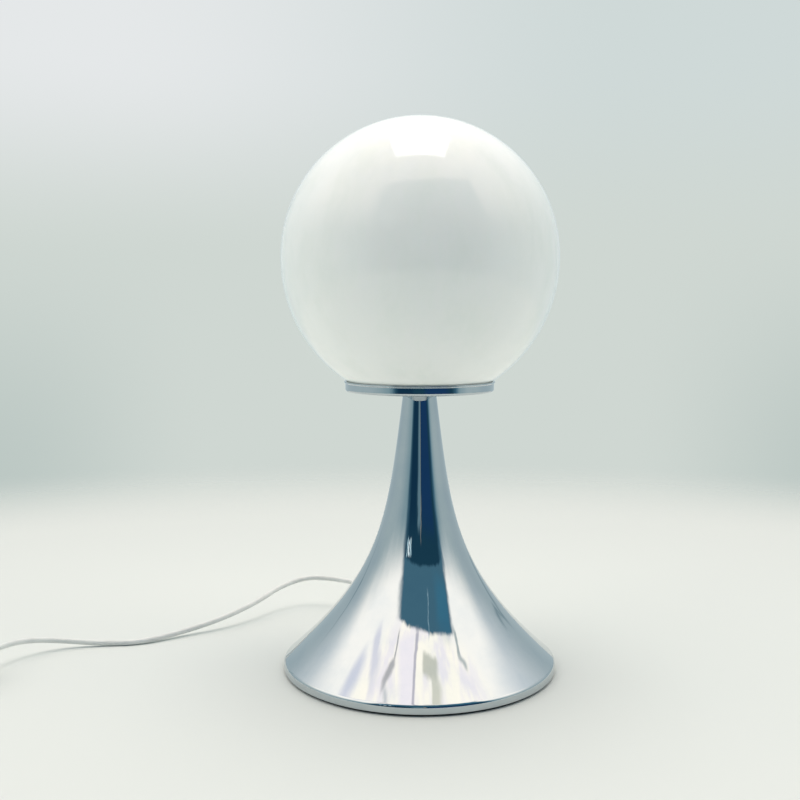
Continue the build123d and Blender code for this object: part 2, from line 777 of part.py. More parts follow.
def bulb_filament():
    """Filament bowed between two leads."""
    top = CAP_TOP - CAP_HEIGHT / 3 + MOUNT_HEIGHT
    side = MOUNT_RADIUS - FILAMENT_RADIUS - SEAT_GAP
    points = [
        (-side, 0, top),
        (-side, 0, top + 5),
        (-FILAMENT_SPREAD, 0, BULB_CENTRE),
        (-FILAMENT_SPREAD / 3, FILAMENT_SPREAD / 2, BULB_CENTRE + 2),
        (FILAMENT_SPREAD / 3, FILAMENT_SPREAD / 2, BULB_CENTRE + 2),
        (FILAMENT_SPREAD, 0, BULB_CENTRE),
        (side, 0, top + 5),
        (side, 0, top),
    ]
    return flexible("filament", points, FILAMENT_RADIUS)


save("bulb_glass", bulb_glass())
save("bulb_cap", bulb_cap())
save("bulb_insulator", bulb_insulator())
save("bulb_tip", bulb_tip())
save("bulb_mount", bulb_mount())
save("bulb_filament", bulb_filament())

# ---------------------------------------------------------------- flex on the table


def cord_coil():
    """Outer shape of the neatly wound flex."""
    ring = tube(COIL_RADIUS + COIL_WIDTH / 2, COIL_RADIUS - COIL_WIDTH / 2, 0, COIL_HEIGHT)
    ring = fillet(ring.edges().filter_by(GeomType.CIRCLE), CORD_RADIUS)
    return Pos(*COIL_CENTRE) * ring


save("supply_cord", flexible("supply cord", CORD_ROUTE, CORD_RADIUS))
save("cord_coil", cord_coil())
save("switch_tail_cord", flexible("switch tail", TAIL_ROUTE, CORD_RADIUS))
save("plug_tail_cord", flexible("plug tail", PLUG_ROUTE, CORD_RADIUS))

# ---------------------------------------------------------------- switch on the flex


def switch_shell(side):
    """Half of the housing; side is 1 for the upper half and -1 for the lower."""
    height = SWITCH_HEIGHT / 2
    outline = RectangleRounded(SWITCH_LENGTH, SWITCH_WIDTH, SWITCH_CORNER)
    hollow = RectangleRounded(
        SWITCH_LENGTH - 2 * SWITCH_WALL,
        SWITCH_WIDTH - 2 * SWITCH_WALL,
        SWITCH_CORNER - SWITCH_WALL,
    )
    block = extrude(outline, height * side)
    rim = block.faces().sort_by(Axis.Z)[-1 if side > 0 else 0].edges()
    shell = fillet(rim, SWITCH_EDGE) - extrude(hollow, (height - SWITCH_WALL) * side)
    post = extrude(Circle(SWITCH_POST_RADIUS), (height - SWITCH_WALL / 2) * side)
    for x, y in switch_screw_places():
        shell += Pos(x, y, 0) * post
    shell -= along_x(CORD_RADIUS + RUN_GAP, -SWITCH_LENGTH / 2, SWITCH_LENGTH / 2)
    return shell


def switch_screw_places():
    """Two screws at opposite corners, their posts merged with the side walls."""
    y = SWITCH_WIDTH / 2 - SWITCH_WALL - SWITCH_POST_RADIUS + SWITCH_POST_MERGE
    return [(side * SWITCH_SCREW_X, side * y) for side in (-1, 1)]


def rocker_window():
    """Length of the opening that the tipping rocker needs."""
    tilt = math.radians(ROCKER_TILT)
    return 2 * (ROCKER_LENGTH / 2 * math.cos(tilt) + ROCKER_RISE * math.sin(tilt) + SEAT_GAP)


def switch_upper_shell():
    """Upper half, with the rocker's window and its two bearing cheeks."""
    half = SWITCH_HEIGHT / 2
    shell = switch_shell(1)
    cheek_y = ROCKER_WIDTH / 2 + SEAT_GAP
    for side in (-1, 1):
        cheek = Pos(0, side * (cheek_y + PIVOT_LENGTH / 2), half - SWITCH_WALL / 2) * Box(
            4 * PIVOT_RADIUS, PIVOT_LENGTH, half - SWITCH_WALL / 2 - ROCKER_PIVOT + 2 * PIVOT_RADIUS, align=TOP
        )
        shell += cheek
    shell -= Pos(0, 0, half) * Box(
        rocker_window(), 2 * cheek_y, 2 * (half - ROCKER_PIVOT) + SWITCH_WALL
    )
    bearing = Location((0, 0, ROCKER_PIVOT), (90, 0, 0)) * Cylinder(
        PIVOT_RADIUS + RUN_GAP, 2 * (cheek_y + PIVOT_LENGTH)
    )
    shell -= bearing
    for x, y in switch_screw_places():
        shell -= Pos(x, y, 0) * Cylinder(
            SWITCH_SCREW_RADIUS, half - SWITCH_WALL, align=BOTTOM
        )
    return shell


def switch_lower_shell():
    """Lower half, with countersunk screw holes."""
    half = SWITCH_HEIGHT / 2
    shell = switch_shell(-1)
    for x, y in switch_screw_places():
        shell -= Pos(x, y, -half) * switch_screw_shape()
    return shell


def switch_screw_shape():
    """Countersunk screw that starts at the housing's underside."""
    sink = SWITCH_SCREW_HEAD_RADIUS - SWITCH_SCREW_RADIUS
    length = SWITCH_HEIGHT - 2 * SWITCH_WALL
    return Cone(SWITCH_SCREW_HEAD_RADIUS, SWITCH_SCREW_RADIUS, sink, align=BOTTOM) + Cylinder(
        SWITCH_SCREW_RADIUS, length, align=BOTTOM
    )


def switch_rocker():
    """Rocker with its two pivot pins, tipped to its resting side."""
    end, low = ROCKER_LENGTH / 2, -ROCKER_DEPTH
    outline = Polyline(
        (-end, 0),
        (-end, ROCKER_RISE),
        (0, ROCKER_RISE - ROCKER_DIP),
        (end, ROCKER_RISE),
        (end, 0),
        (end / 3, low),
        (-end / 3, low),
        close=True,
    )
    body = extrude(make_face(Plane.XZ * outline), ROCKER_WIDTH / 2, both=True)
    pins = Rot(90, 0, 0) * Cylinder(
        PIVOT_RADIUS, ROCKER_WIDTH + 2 * SEAT_GAP + 2 * PIVOT_LENGTH - SEAT_GAP
    )
    return Location((0, 0, ROCKER_PIVOT), (0, ROCKER_TILT, 0)) * (body + pins)


def switch_bridge():
    """Contact bar under the rocker."""
    bar = Pos(0, 0, -ROCKER_DEPTH) * Box(*BRIDGE, align=TOP)
    return Location((0, 0, ROCKER_PIVOT), (0, ROCKER_TILT, 0)) * bar


def switch_contacts():
    """Two terminal blocks on the floor of the housing."""
    floor = SWITCH_WALL - SWITCH_HEIGHT / 2
    places = [Pos(side * CONTACT_BLOCK_AT, 0, floor) for side in (-1, 1)]
    return Compound(children=[place * Box(*CONTACT_BLOCK, align=BOTTOM) for place in places])


def switch_flex_ends():
    """The flex's sheath inside each end of the housing."""
    half = SWITCH_LENGTH / 2
    ends = [along_x(CORD_RADIUS, -half, FLEX_END - half), along_x(CORD_RADIUS, half - FLEX_END, half)]
    return Compound(children=ends)


def switch_cores():
    """One core that runs through and two that end at the contacts."""
    inside = SWITCH_LENGTH / 2 - FLEX_END
    apart = 1.15 * CORE_RADIUS
    beside = SWITCH_WIDTH / 2 - SWITCH_WALL - 3 * CORE_RADIUS
    block = CONTACT_BLOCK_AT + CONTACT_BLOCK[0] / 2
    low = -2 * CORE_RADIUS
    through = [
        (-inside, -apart, 0),
        (-inside + 2, -apart, 0),
        (-block + 1, -beside, low),
        (block - 1, -beside, low),
        (inside - 2, -apart, 0),
        (inside, -apart, 0),
    ]
    wires = [flexible("through core", through, CORE_RADIUS)]
    step = (inside - block) / 4
    for side in (-1, 1):
        points = [
            (side * inside, apart, 0),
            (side * (inside - step), apart, 0),
            (side * (block + step), apart, low / 2),
            (side * block, apart, low / 2),
        ]
        wires.append(flexible("switched core", points, CORE_RADIUS))
    return Compound(children=wires)


def switch_screws():
    """Two screws from below."""
    half = SWITCH_HEIGHT / 2
    places = [Pos(x, y, -half) for x, y in switch_screw_places()]
    return Compound(children=[place * switch_screw_shape() for place in places])


save("switch_lower_shell", SWITCH_PLACE * switch_lower_shell())
save("switch_upper_shell", SWITCH_PLACE * switch_upper_shell())
save("switch_rocker", SWITCH_PLACE * switch_rocker())
save("switch_bridge", SWITCH_PLACE * switch_bridge())
save("switch_contacts", SWITCH_PLACE * switch_contacts())
save("switch_flex_ends", SWITCH_PLACE * switch_flex_ends())
save("switch_cores", SWITCH_PLACE * switch_cores())
save("switch_screws", SWITCH_PLACE * switch_screws())

# ---------------------------------------------------------------- plug


def plug_section():
    """Six-sided section of the plug, wide and flat."""
    wide, flat, thick = PLUG_WIDTH / 2, PLUG_FLAT_WIDTH / 2, PLUG_THICKNESS / 2
    return Polygon(
        (wide, 0), (flat, thick), (-flat, thick), (-wide, 0), (-flat, -thick), (flat, -thick)
    )


def plug_body():
    """Moulded plug with its own tapered strain relief."""
    face_x = PLUG_BOOT + PLUG_REAR + PLUG_FRONT
    front = extrude(Plane.YZ.offset(PLUG_BOOT + PLUG_REAR) * plug_section(), PLUG_FRONT)
    rear = loft(
        [
            Plane.YZ.offset(PLUG_BOOT) * scale(plug_section(), 0.4),
            Plane.YZ.offset(PLUG_BOOT + PLUG_REAR) * plug_section(),
        ]
    )
    boot = cone_along_x(CORD_RADIUS + 1, PLUG_BOOT_RADIUS, 0, PLUG_BOOT + 2)
    body = front + rear + boot
    for side in (-1, 1):
        body -= Pos(0, side * PIN_SPACING / 2, 0) * along_x(
            PIN_CORE_RADIUS, face_x - PIN_ROOT, face_x
        )
    return body


def plug_pins():
    """Two round pins with a thinner root."""
    face_x = PLUG_BOOT + PLUG_REAR + PLUG_FRONT
    shoulder = face_x + SLEEVE_LENGTH
    pin = along_x(PIN_CORE_RADIUS, face_x - PIN_ROOT, shoulder) + along_x(
        PIN_RADIUS, shoulder, shoulder + PIN_TIP
    )
    return Compound(children=[Pos(0, side * PIN_SPACING / 2, 0) * pin for side in (-1, 1)])


def plug_pin_sleeves():
    """Insulating sleeves on the roots of the pins."""
    face_x = PLUG_BOOT + PLUG_REAR + PLUG_FRONT
    end_x = face_x + SLEEVE_LENGTH
    sleeve = along_x(SLEEVE_RADIUS, face_x, end_x) - along_x(PIN_CORE_RADIUS, face_x, end_x)
    return Compound(children=[Pos(0, side * PIN_SPACING / 2, 0) * sleeve for side in (-1, 1)])


save("plug_body", PLUG_PLACE * plug_body())
save("plug_pins", PLUG_PLACE * plug_pins())
save("plug_pin_sleeves", PLUG_PLACE * plug_pin_sleeves())
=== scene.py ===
"""Looks of a table lamp: an opal glass globe on a chromed trumpet base, with its flex, switch and plug.

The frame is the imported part's: the origin is on the table under the centre of the base, +Z is up, -Y
is the front, and the flex leaves behind, to the left. Sizes of pieces are in millimetres, and are
turned to metres where their mesh is made; the camera, the flex and the room are in metres.
"""

from __future__ import annotations

import json
import logging
import math
from dataclasses import dataclass
from enum import Enum

import bpy
import numpy as np
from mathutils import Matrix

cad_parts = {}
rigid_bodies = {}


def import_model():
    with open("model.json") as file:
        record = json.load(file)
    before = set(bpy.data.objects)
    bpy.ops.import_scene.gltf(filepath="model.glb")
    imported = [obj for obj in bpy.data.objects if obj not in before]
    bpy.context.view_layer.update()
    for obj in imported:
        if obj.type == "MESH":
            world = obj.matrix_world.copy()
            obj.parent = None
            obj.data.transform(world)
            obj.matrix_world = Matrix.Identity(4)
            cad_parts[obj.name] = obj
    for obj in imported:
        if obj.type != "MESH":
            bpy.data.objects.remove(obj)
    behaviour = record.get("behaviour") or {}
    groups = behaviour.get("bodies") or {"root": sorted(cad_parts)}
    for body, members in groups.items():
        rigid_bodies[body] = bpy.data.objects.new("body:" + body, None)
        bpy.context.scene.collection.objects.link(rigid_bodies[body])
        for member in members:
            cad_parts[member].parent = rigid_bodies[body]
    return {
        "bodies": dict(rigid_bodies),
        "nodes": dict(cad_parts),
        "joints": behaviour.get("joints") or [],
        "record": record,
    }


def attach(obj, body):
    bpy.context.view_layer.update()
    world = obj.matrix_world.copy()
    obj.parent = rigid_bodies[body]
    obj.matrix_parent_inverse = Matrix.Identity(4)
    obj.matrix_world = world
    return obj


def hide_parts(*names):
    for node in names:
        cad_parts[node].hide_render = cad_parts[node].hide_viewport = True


LOG = logging.getLogger("globe_lamp")
MM = 0.001
TURN = 2 * math.pi
GLASS_IOR = 1.52
# keeps a length of nothing from being divided by
TINY = 1e-12
# how far past a corner's arc a flat's holding point lies, as a share of the corner's radius
HOLD = 0.06

Vec3 = tuple[float, float, float]
Colour = tuple[float, float, float, float]
Span = tuple[float, float]
Tree = bpy.types.NodeTree
Socket = bpy.types.NodeSocket

# settings of two kinds of node: a smooth step between two values, and a mix of two colours
SMOOTH = {"interpolation_type": "SMOOTHSTEP"}
BLEND = {"data_type": "RGBA", "out": "Result_Color"}

# ---------------------------------------------------------------- colour and nodes


def linear(hex_colour: str) -> Colour:
    """Turn an sRGB hex colour into linear light.

    Args:
        hex_colour: six hex digits with a leading "#".

    Returns:
        Red, green, blue and an alpha of 1.
    """
    parts = [int(hex_colour[i : i + 2], 16) / 255 for i in (1, 3, 5)]
    light = [c / 12.92 if c <= 0.04045 else ((c + 0.055) / 1.055) ** 2.4 for c in parts]
    return (light[0], light[1], light[2], 1.0)


def add_node(tree: Tree, kind: str, *values: object, out: int | str = 0, **named: object) -> Socket:
    """Add a node, set its properties and sockets, link it, and return one of its outputs.

    Args:
        tree: the node tree to add to.
        kind: the node's type name after "ShaderNode".
        *values: values of its first sockets, in order; a socket as a value is linked.
        out: number or name of the output to return.
        **named: a property of the node where the name starts with a small letter, and otherwise a
            socket by its name or identifier, with "_" for a space.

    Returns:
        The output's socket, whose node gives the others.
    """
    node = tree.nodes.new(f"ShaderNode{kind}")
    given = list(zip(node.inputs, values))
    for name, value in named.items():
        if name[0].islower():
            setattr(node, name, value)
        else:
            fits = (i for i in node.inputs if name in (i.identifier, i.name.replace(" ", "_")))
            given.append((next(fits), value))
    for socket, value in given:
        if isinstance(value, Socket):
            tree.links.new(value, socket)
        else:
            socket.default_value = value
    return next(o for n, o in enumerate(node.outputs) if out in (n, o.identifier, o.name))


def new_material(name: str) -> tuple[bpy.types.Material, Tree, bpy.types.Node]:
    """Start a material with a Principled shader.

    Args:
        name: the finish's name.

    Returns:
        The material, its node tree and the shader node.
    """
    material = bpy.data.materials.new(name)
    material.use_nodes = True
    tree = material.node_tree
    shader = tree.nodes["Principled BSDF"]
    return material, tree, shader


def pattern(
    tree: Tree,
    size: float,
    detail: float = 2.0,
    roughness: float = 0.5,
    stretch: Vec3 = (1, 1, 1),
    turn: Vec3 = (0, 0, 0),
) -> Socket:
    """Noise that is fixed to the piece, from its Object coordinates.

    Args:
        tree: the node tree.
        size: size of a blotch in metres.
        detail: octaves.
        roughness: weight of the finer octaves.
        stretch: scale of the coordinates along each axis; under 1 draws the blotches out.
        turn: rotation of the coordinates in radians about each axis.

    Returns:
        The noise value's socket, from 0 to 1.
    """
    place = add_node(tree, "TexCoord", out="Object")
    placed = add_node(tree, "Mapping", place, Rotation=turn, Scale=stretch)
    return add_node(tree, "TexNoise", Vector=placed, Scale=1 / size, Detail=detail, Roughness=roughness)


def graded(tree: Tree, value: Socket, span: Span, first: Colour | Socket, second: Colour | Socket) -> Socket:
    """Change from one colour to another as a value goes through a span.

    Args:
        tree: the node tree.
        value: the value's socket.
        span: values at which the change starts and ends.
        first: the colour before it.
        second: the colour after it.

    Returns:
        The colour's socket.
    """
    share = add_node(tree, "MapRange", value, *span, **SMOOTH)
    return add_node(tree, "Mix", share, A_Color=first, B_Color=second, **BLEND)


def surface(
    tree: Tree,
    shader: bpy.types.Node,
    tones: tuple[Socket, Span, str, str] | None = None,
    polish: tuple[Socket, Span, Span] | None = None,
    relief: tuple[tuple[Socket, float], ...] = (),
) -> None:
    """Lay a finish's surface: its two tones, its uneven polish and its relief.

    Args:
        tree: the node tree.
        shader: the shader.
        tones: a pattern, the span of its values, and the sRGB hex colour before and after that span.
        polish: a pattern, the span of its values, and the roughness before and after that span.
        relief: heights, from 0 to 1, each with its depth in metres, the lowest first.
    """
    if tones:
        value, span, first, second = tones
        tree.links.new(graded(tree, value, span, linear(first), linear(second)), shader.inputs["Base Color"])
    if polish:
        value, span, rough = polish
        tree.links.new(add_node(tree, "MapRange", value, *span, *rough, **SMOOTH), shader.inputs["Roughness"])
    below = {}
    for height, depth in relief:
        below = {"Normal": add_node(tree, "Bump", Height=height, Distance=depth, Strength=1.0, **below)}
    if below:
        tree.links.new(below["Normal"], shader.inputs["Normal"])


# ---------------------------------------------------------------- finishes


@dataclass(frozen=True)
class ChromePlate:
    """Decorative chrome on spun and polished steel sheet.

    It mirrors the room, a little blue, with hairlines that polishing leaves round the lamp's axis, a
    few upright wipe marks and small pits.
    """

    name: str = "chrome_plated_steel"
    colour: str = "#C1C8CB"
    worn_colour: str = "#BAC3C8"
    roughness: float = 0.014
    hairline: float = 0.25 * MM
    smear: float = 28 * MM
    pit: float = 1.6 * MM
    dent: float = 22 * MM
    dent_depth: float = 0.02 * MM
    hairline_depth: float = 0.0012 * MM
    pit_depth: float = 0.004 * MM
    cloud: float = 0.022
    streak: float = 0.014

    def make(self) -> bpy.types.Material:
        """Build the material."""
        material, tree, shader = new_material(self.name)
        rings = pattern(tree, self.hairline, 3.0, 0.65, (0.02, 0.02, 1.0))
        smears = pattern(tree, self.smear, 4.0, 0.6)
        pits = pattern(tree, self.pit, 1.0)
        cloudy = add_node(tree, "MapRange", smears, 0.5, 0.8, 0.0, self.cloud, **SMOOTH)
        streaky = add_node(tree, "MapRange", rings, 0.45, 0.75, 0.0, self.streak, **SMOOTH)
        uneven = add_node(tree, "Math", cloudy, streaky, operation="ADD")
        rough = add_node(tree, "Math", uneven, self.roughness, operation="ADD")
        tree.links.new(rough, shader.inputs["Roughness"])
        dents = pattern(tree, self.dent, 1.0)
        specks = add_node(tree, "MapRange", pits, 0.78, 0.86, **SMOOTH)
        surface(
            tree,
            shader,
            tones=(smears, (0.35, 0.75), self.colour, self.worn_colour),
            relief=((dents, self.dent_depth), (rings, self.hairline_depth), (specks, self.pit_depth)),
        )
        shader.inputs["Metallic"].default_value = 1.0
        return material


@dataclass(frozen=True)
class OpalGlass:
    """Blown opal glass: milky white all through, with a clear fire-polished skin.

    Light spreads inside it, so its shading is soft, and a faint painted glow, an emission, stands in for the
    room's light that goes through the far wall; its skin mirrors the lamps, with faint cords and streaks from
    the blowing.
    """

    name: str = "blown_opal_glass"
    colour: str = "#FBFBF6"
    thin_colour: str = "#F3F5EF"
    roughness: float = 0.045
    streak: float = 34 * MM
    ripple: float = 60 * MM
    ripple_depth: float = 0.22 * MM
    cord_depth: float = 0.012 * MM
    spread: float = 4 * MM
    painted_glow_colour: str = "#F2FFF4"
    painted_glow: float = 0.085

    def make(self) -> bpy.types.Material:
        """Build the material."""
        material, tree, shader = new_material(self.name)
        streaks = pattern(tree, self.streak, 4.0, 0.6, (1.0, 1.0, 0.35), (0.35, 0.2, 0.0))
        ripples = pattern(tree, self.ripple, 2.0, 0.45)
        cords = add_node(tree, "MapRange", streaks, 0.55, 0.7, **SMOOTH)
        surface(
            tree,
            shader,
            tones=(streaks, (0.4, 0.75), self.colour, self.thin_colour),
            polish=(streaks, (0.3, 0.8), (self.roughness, self.roughness + 0.06)),
            relief=((ripples, self.ripple_depth), (cords, self.cord_depth)),
        )
        shader.inputs["IOR"].default_value = GLASS_IOR
        shader.inputs["Subsurface Weight"].default_value = 0.25
        shader.inputs["Subsurface Radius"].default_value = (1.0, 0.95, 0.9)
        shader.inputs["Subsurface Scale"].default_value = self.spread
        # painted glow: a faint emission standing in for the light that passes through the far wall, though
        # the glass is no lamp
        shader.inputs["Emission Color"].default_value = linear(self.painted_glow_colour)
        shader.inputs["Emission Strength"].default_value = self.painted_glow
        return material


@dataclass(frozen=True)
class ClearGlass:
    """Clear blown soda glass, as thin as a bulb, with a faint wave in its wall."""

    name: str = "clear_bulb_glass"
    tint: str = "#F4F8F7"
    wave: float = 14 * MM
    wave_depth: float = 0.03 * MM

    def make(self) -> bpy.types.Material:
        """Build the material."""
        material, tree, shader = new_material(self.name)
        waved = pattern(tree, self.wave, 1.0)
        surface(
            tree,
            shader,
            polish=(waved, (0.3, 0.8), (0.0, 0.03)),
            relief=((waved, self.wave_depth),),
        )
        shader.inputs["Base Color"].default_value = linear(self.tint)
        shader.inputs["IOR"].default_value = GLASS_IOR
        shader.inputs["Transmission Weight"].default_value = 1.0
        return material


@dataclass(frozen=True)
class BareMetal:
    """A turned, drawn or stamped metal piece, with its own grain and tarnish."""

    name: str
    colour: str
    dull_colour: str
    roughness: float
    grain: Vec3 = (1.0, 1.0, 12.0)
    grain_size: float = 0.8 * MM
    relief: float = 0.004 * MM
    stain: float = 6 * MM

    def make(self) -> bpy.types.Material:
        """Build the material."""
        material, tree, shader = new_material(self.name)
        grain = pattern(tree, self.grain_size, 3.0, 0.6, self.grain)
        stain = pattern(tree, self.stain, 3.0, 0.6)
        surface(
            tree,
            shader,
            tones=(stain, (0.35, 0.7), self.colour, self.dull_colour),
            polish=(grain, (0.3, 0.7), (self.roughness * 0.75, self.roughness * 1.3)),
            relief=((grain, self.relief),),
        )
        shader.inputs["Metallic"].default_value = 1.0
        return material


@dataclass(frozen=True)
class CastIron:
    """Rough sand-cast iron under a thin black dip, grey where it is rubbed."""

    name: str = "sand_cast_iron"
    colour: str = "#2B2C2D"
    rubbed_colour: str = "#55575A"
    sand: float = 1.4 * MM
    sand_depth: float = 0.25 * MM
    patch: float = 18 * MM

    def make(self) -> bpy.types.Material:
        """Build the material."""
        material, tree, shader = new_material(self.name)
        sand = pattern(tree, self.sand, 5.0, 0.7)
        patches = pattern(tree, self.patch, 4.0, 0.6)
        surface(
            tree,
            shader,
            tones=(patches, (0.5, 0.75), self.colour, self.rubbed_colour),
            relief=((sand, self.sand_depth),),
        )
        shader.inputs["Metallic"].default_value = 0.6
        shader.inputs["Roughness"].default_value = 0.62
        return material


@dataclass(frozen=True)
class WoolFelt:
    """Pressed wool felt: matt, with short matted fibres and a soft sheen at a low angle."""

    name: str = "pressed_wool_felt"
    colour: str = "#17181B"
    lint_colour: str = "#34363A"
    fibre: float = 0.5 * MM
    tuft: float = 5 * MM
    depth: float = 0.2 * MM

    def make(self) -> bpy.types.Material:
        """Build the material."""
        material, tree, shader = new_material(self.name)
        fibres = pattern(tree, self.fibre, 4.0, 0.75)
        tufts = pattern(tree, self.tuft, 3.0, 0.6)
        surface(
            tree,
            shader,
            tones=(fibres, (0.4, 0.75), self.colour, self.lint_colour),
            relief=((add_node(tree, "Math", fibres, tufts, operation="ADD"), self.depth),),
        )
        shader.inputs["Roughness"].default_value = 0.95
        shader.inputs["Sheen Weight"].default_value = 0.35
        return material


@dataclass(frozen=True)
class Moulding:
    """A moulded plastic or rubber piece, with the fine texture of its mould."""

    name: str
    colour: str
    shade_colour: str
    roughness: float
    texture: float = 0.6 * MM
    relief: float = 0.012 * MM
    ior: float = 1.5
    flow: float = 16 * MM

    def make(self) -> bpy.types.Material:
        """Build the material."""
        material, tree, shader = new_material(self.name)
        spark = pattern(tree, self.texture, 3.0, 0.6)
        flow = pattern(tree, self.flow, 3.0, 0.55)
        surface(
            tree,
            shader,
            tones=(flow, (0.35, 0.75), self.colour, self.shade_colour),
            polish=(flow, (0.3, 0.75), (self.roughness * 0.85, self.roughness * 1.2)),
            relief=((spark, self.relief),),
        )
        shader.inputs["IOR"].default_value = self.ior
        return material


@dataclass(frozen=True)
class GlossPaint:
    """Stoved black enamel on pressed steel, with a slight orange peel."""

    name: str = "stoved_black_enamel"
    colour: str = "#101113"
    dusty_colour: str = "#1D1F22"
    peel: float = 1.2 * MM
    peel_depth: float = 0.01 * MM
    dust: float = 9 * MM

    def make(self) -> bpy.types.Material:
        """Build the material."""
        material, tree, shader = new_material(self.name)
        dust = pattern(tree, self.dust, 4.0, 0.65)
        surface(
            tree,
            shader,
            tones=(dust, (0.45, 0.75), self.colour, self.dusty_colour),
            polish=(dust, (0.4, 0.8), (0.22, 0.45)),
            relief=((pattern(tree, self.peel, 1.0), self.peel_depth),),
        )
        return material


class Finish(Enum):
    """Every finish on the lamp, by what it is made of."""

    CHROME = ChromePlate()
    OPAL = OpalGlass()
    CLEAR = ClearGlass()
    FELT = WoolFelt()
    IRON = CastIron()
    ENAMEL = GlossPaint()
    # turned or pressed steel, bright zinc plated: pale grey with a dull bloom
    ZINC = BareMetal("zinc_plated_steel", "#B9BBB6", "#8F9390", 0.32)
    # brass as it leaves the lathe, with fine rings and a brown tarnish
    BRASS = BareMetal("turned_brass", "#D9B766", "#A8853F", 0.24)
    # nickel over brass: warm and bright
    NICKEL = BareMetal("nickel_plated_brass", "#CDC8BD", "#AFAA9E", 0.18, relief=0.002 * MM)
    # thin drawn aluminium, softly bright
    CAP = BareMetal("drawn_aluminium", "#D3D4D2", "#B4B6B4", 0.3)
    # a drop of solder, wrinkled where it set
    SOLDER = BareMetal("tin_lead_solder", "#B7B8B7", "#7F8180", 0.42, (1, 1, 1), 1.2 * MM, 0.05 * MM)
    # dark drawn wire
    TUNGSTEN = BareMetal("drawn_tungsten", "#5A5B5C", "#3A3B3C", 0.45)
    # pressed phenolic: hard black with the mould's gloss
    BAKELITE = Moulding("black_phenolic", "#111112", "#1B1B1D", 0.26)
    # steatite under a thin cream glaze
    PORCELAIN = Moulding("glazed_porcelain", "#E9E6DC", "#DDD8CA", 0.12, 1.5 * MM, 0.01 * MM)
    # poured black glass, glossy and a little uneven
    VITRITE = Moulding("black_vitrite_glass", "#0C0B10", "#17151C", 0.1, 2 * MM, 0.02 * MM, GLASS_IOR)
    # extruded flex sheath: satin white
    PVC = Moulding("extruded_white_pvc", "#E4E6E3", "#D9DBD8", 0.42, 0.9 * MM, 0.012 * MM, 1.53)
    # soft moulded rubber: matt white
    RUBBER = Moulding("moulded_white_rubber", "#E0E1DD", "#D2D4D0", 0.55, 0.7 * MM, 0.02 * MM)
    # injection moulded housings: white with a fine spark-eroded grain
    ABS = Moulding("white_abs", "#E7E8E5", "#DDDFDC", 0.3, 0.5 * MM, 0.008 * MM)
    # blue insulation of the cores
    CORES = Moulding("blue_core_pvc", "#2F5C9B", "#274E85", 0.4)
    # black sleeves on the pins
    SLEEVES = Moulding("black_pin_sleeve", "#141415", "#1E1E20", 0.38)

    def material(self) -> bpy.types.Material:
        """Return the finish's material, made once."""
        return bpy.data.materials.get(self.value.name) or self.value.make()


# ---------------------------------------------------------------- surfaces


def closed_grid_faces(rows: int, columns: int, wrap_rows: bool, wrap_columns: bool) -> np.ndarray:
    """Quads of a grid of points numbered row by row.

    Args:
        rows: number of rows.
        columns: number of points in a row.
        wrap_rows: whether the last row joins the first.
        wrap_columns: whether each row is a ring.

    Returns:
        An array of four point numbers for each quad.
    """
    i = np.arange(rows if wrap_rows else rows - 1)[:, None]
    j = np.arange(columns if wrap_columns else columns - 1)[None, :]
    below, above = i % rows * columns, (i + 1) % rows * columns
    left, right = j % columns, (j + 1) % columns
    return np.stack([below + left, below + right, above + right, above + left], -1).reshape(-1, 4)


def add_mesh(name: str, points: np.ndarray, faces: list[list[int]], sharp: float = 40.0) -> bpy.types.Object:
    """Put a mesh into the scene with smooth shading and its sharp edges kept.

    Args:
        name: the piece's name.
        points: one row of x, y, z in millimetres for each point.
        faces: point numbers of each face, anticlockwise seen from outside.
        sharp: angle in degrees past which an edge stays sharp.

    Returns:
        The new object, at the origin.
    """
    mesh = bpy.data.meshes.new(name)
    mesh.from_pydata((points * MM).tolist(), [], faces)
    mesh.shade_smooth()
    mesh.set_sharp_from_angle(angle=math.radians(sharp))
    mesh.update()
    piece = bpy.data.objects.new(name, mesh)
    bpy.context.scene.collection.objects.link(piece)
    return piece


def turned_piece(
    name: str,
    outline: np.ndarray,
    segments: int = 192,
    sharp: float = 40.0,
    relief: np.ndarray | None = None,
) -> bpy.types.Object:
    """Turn an outline about the vertical axis.

    The point at angle t and outline place s is (r(s) cos t, r(s) sin t, z(s)), with the relief's depth
    taken off r. The outline goes round the section with the solid on its left, seen with r to the
    right and z up. Where it starts and ends on the axis, each end is one point with a fan of
    triangles; elsewhere it is a closed loop.

    Args:
        name: the piece's name.
        outline: rows of radius and height.
        segments: number of steps round the axis.
        sharp: angle in degrees past which an edge stays sharp.
        relief: depth cut into each point, a row for each outline point off the axis.

    Returns:
        The new object.
    """
    on_axis = outline[0, 0] < 1e-9 and outline[-1, 0] < 1e-9
    ring = outline[1:-1] if on_axis else outline
    angle = np.arange(segments) * TURN / segments
    reach = ring[:, :1] - (0 if relief is None else relief)
    x = reach * np.cos(angle)
    y = reach * np.sin(angle)
    z = np.repeat(ring[:, 1:], segments, 1)
    points = np.stack([x, y, z], -1).reshape(-1, 3)
    faces = closed_grid_faces(len(ring), segments, not on_axis, True).tolist()
    if on_axis:
        first, last = len(points), len(points) + 1
        points = np.vstack([points, [0, 0, outline[0, 1]], [0, 0, outline[-1, 1]]])
        step = np.arange(segments)
        after = (step + 1) % segments
        top = (len(ring) - 1) * segments
        faces += np.stack([np.full(segments, first), after, step], -1).tolist()
        faces += np.stack([np.full(segments, last), top + step, top + after], -1).tolist()
    return add_mesh(name, points, faces, sharp)


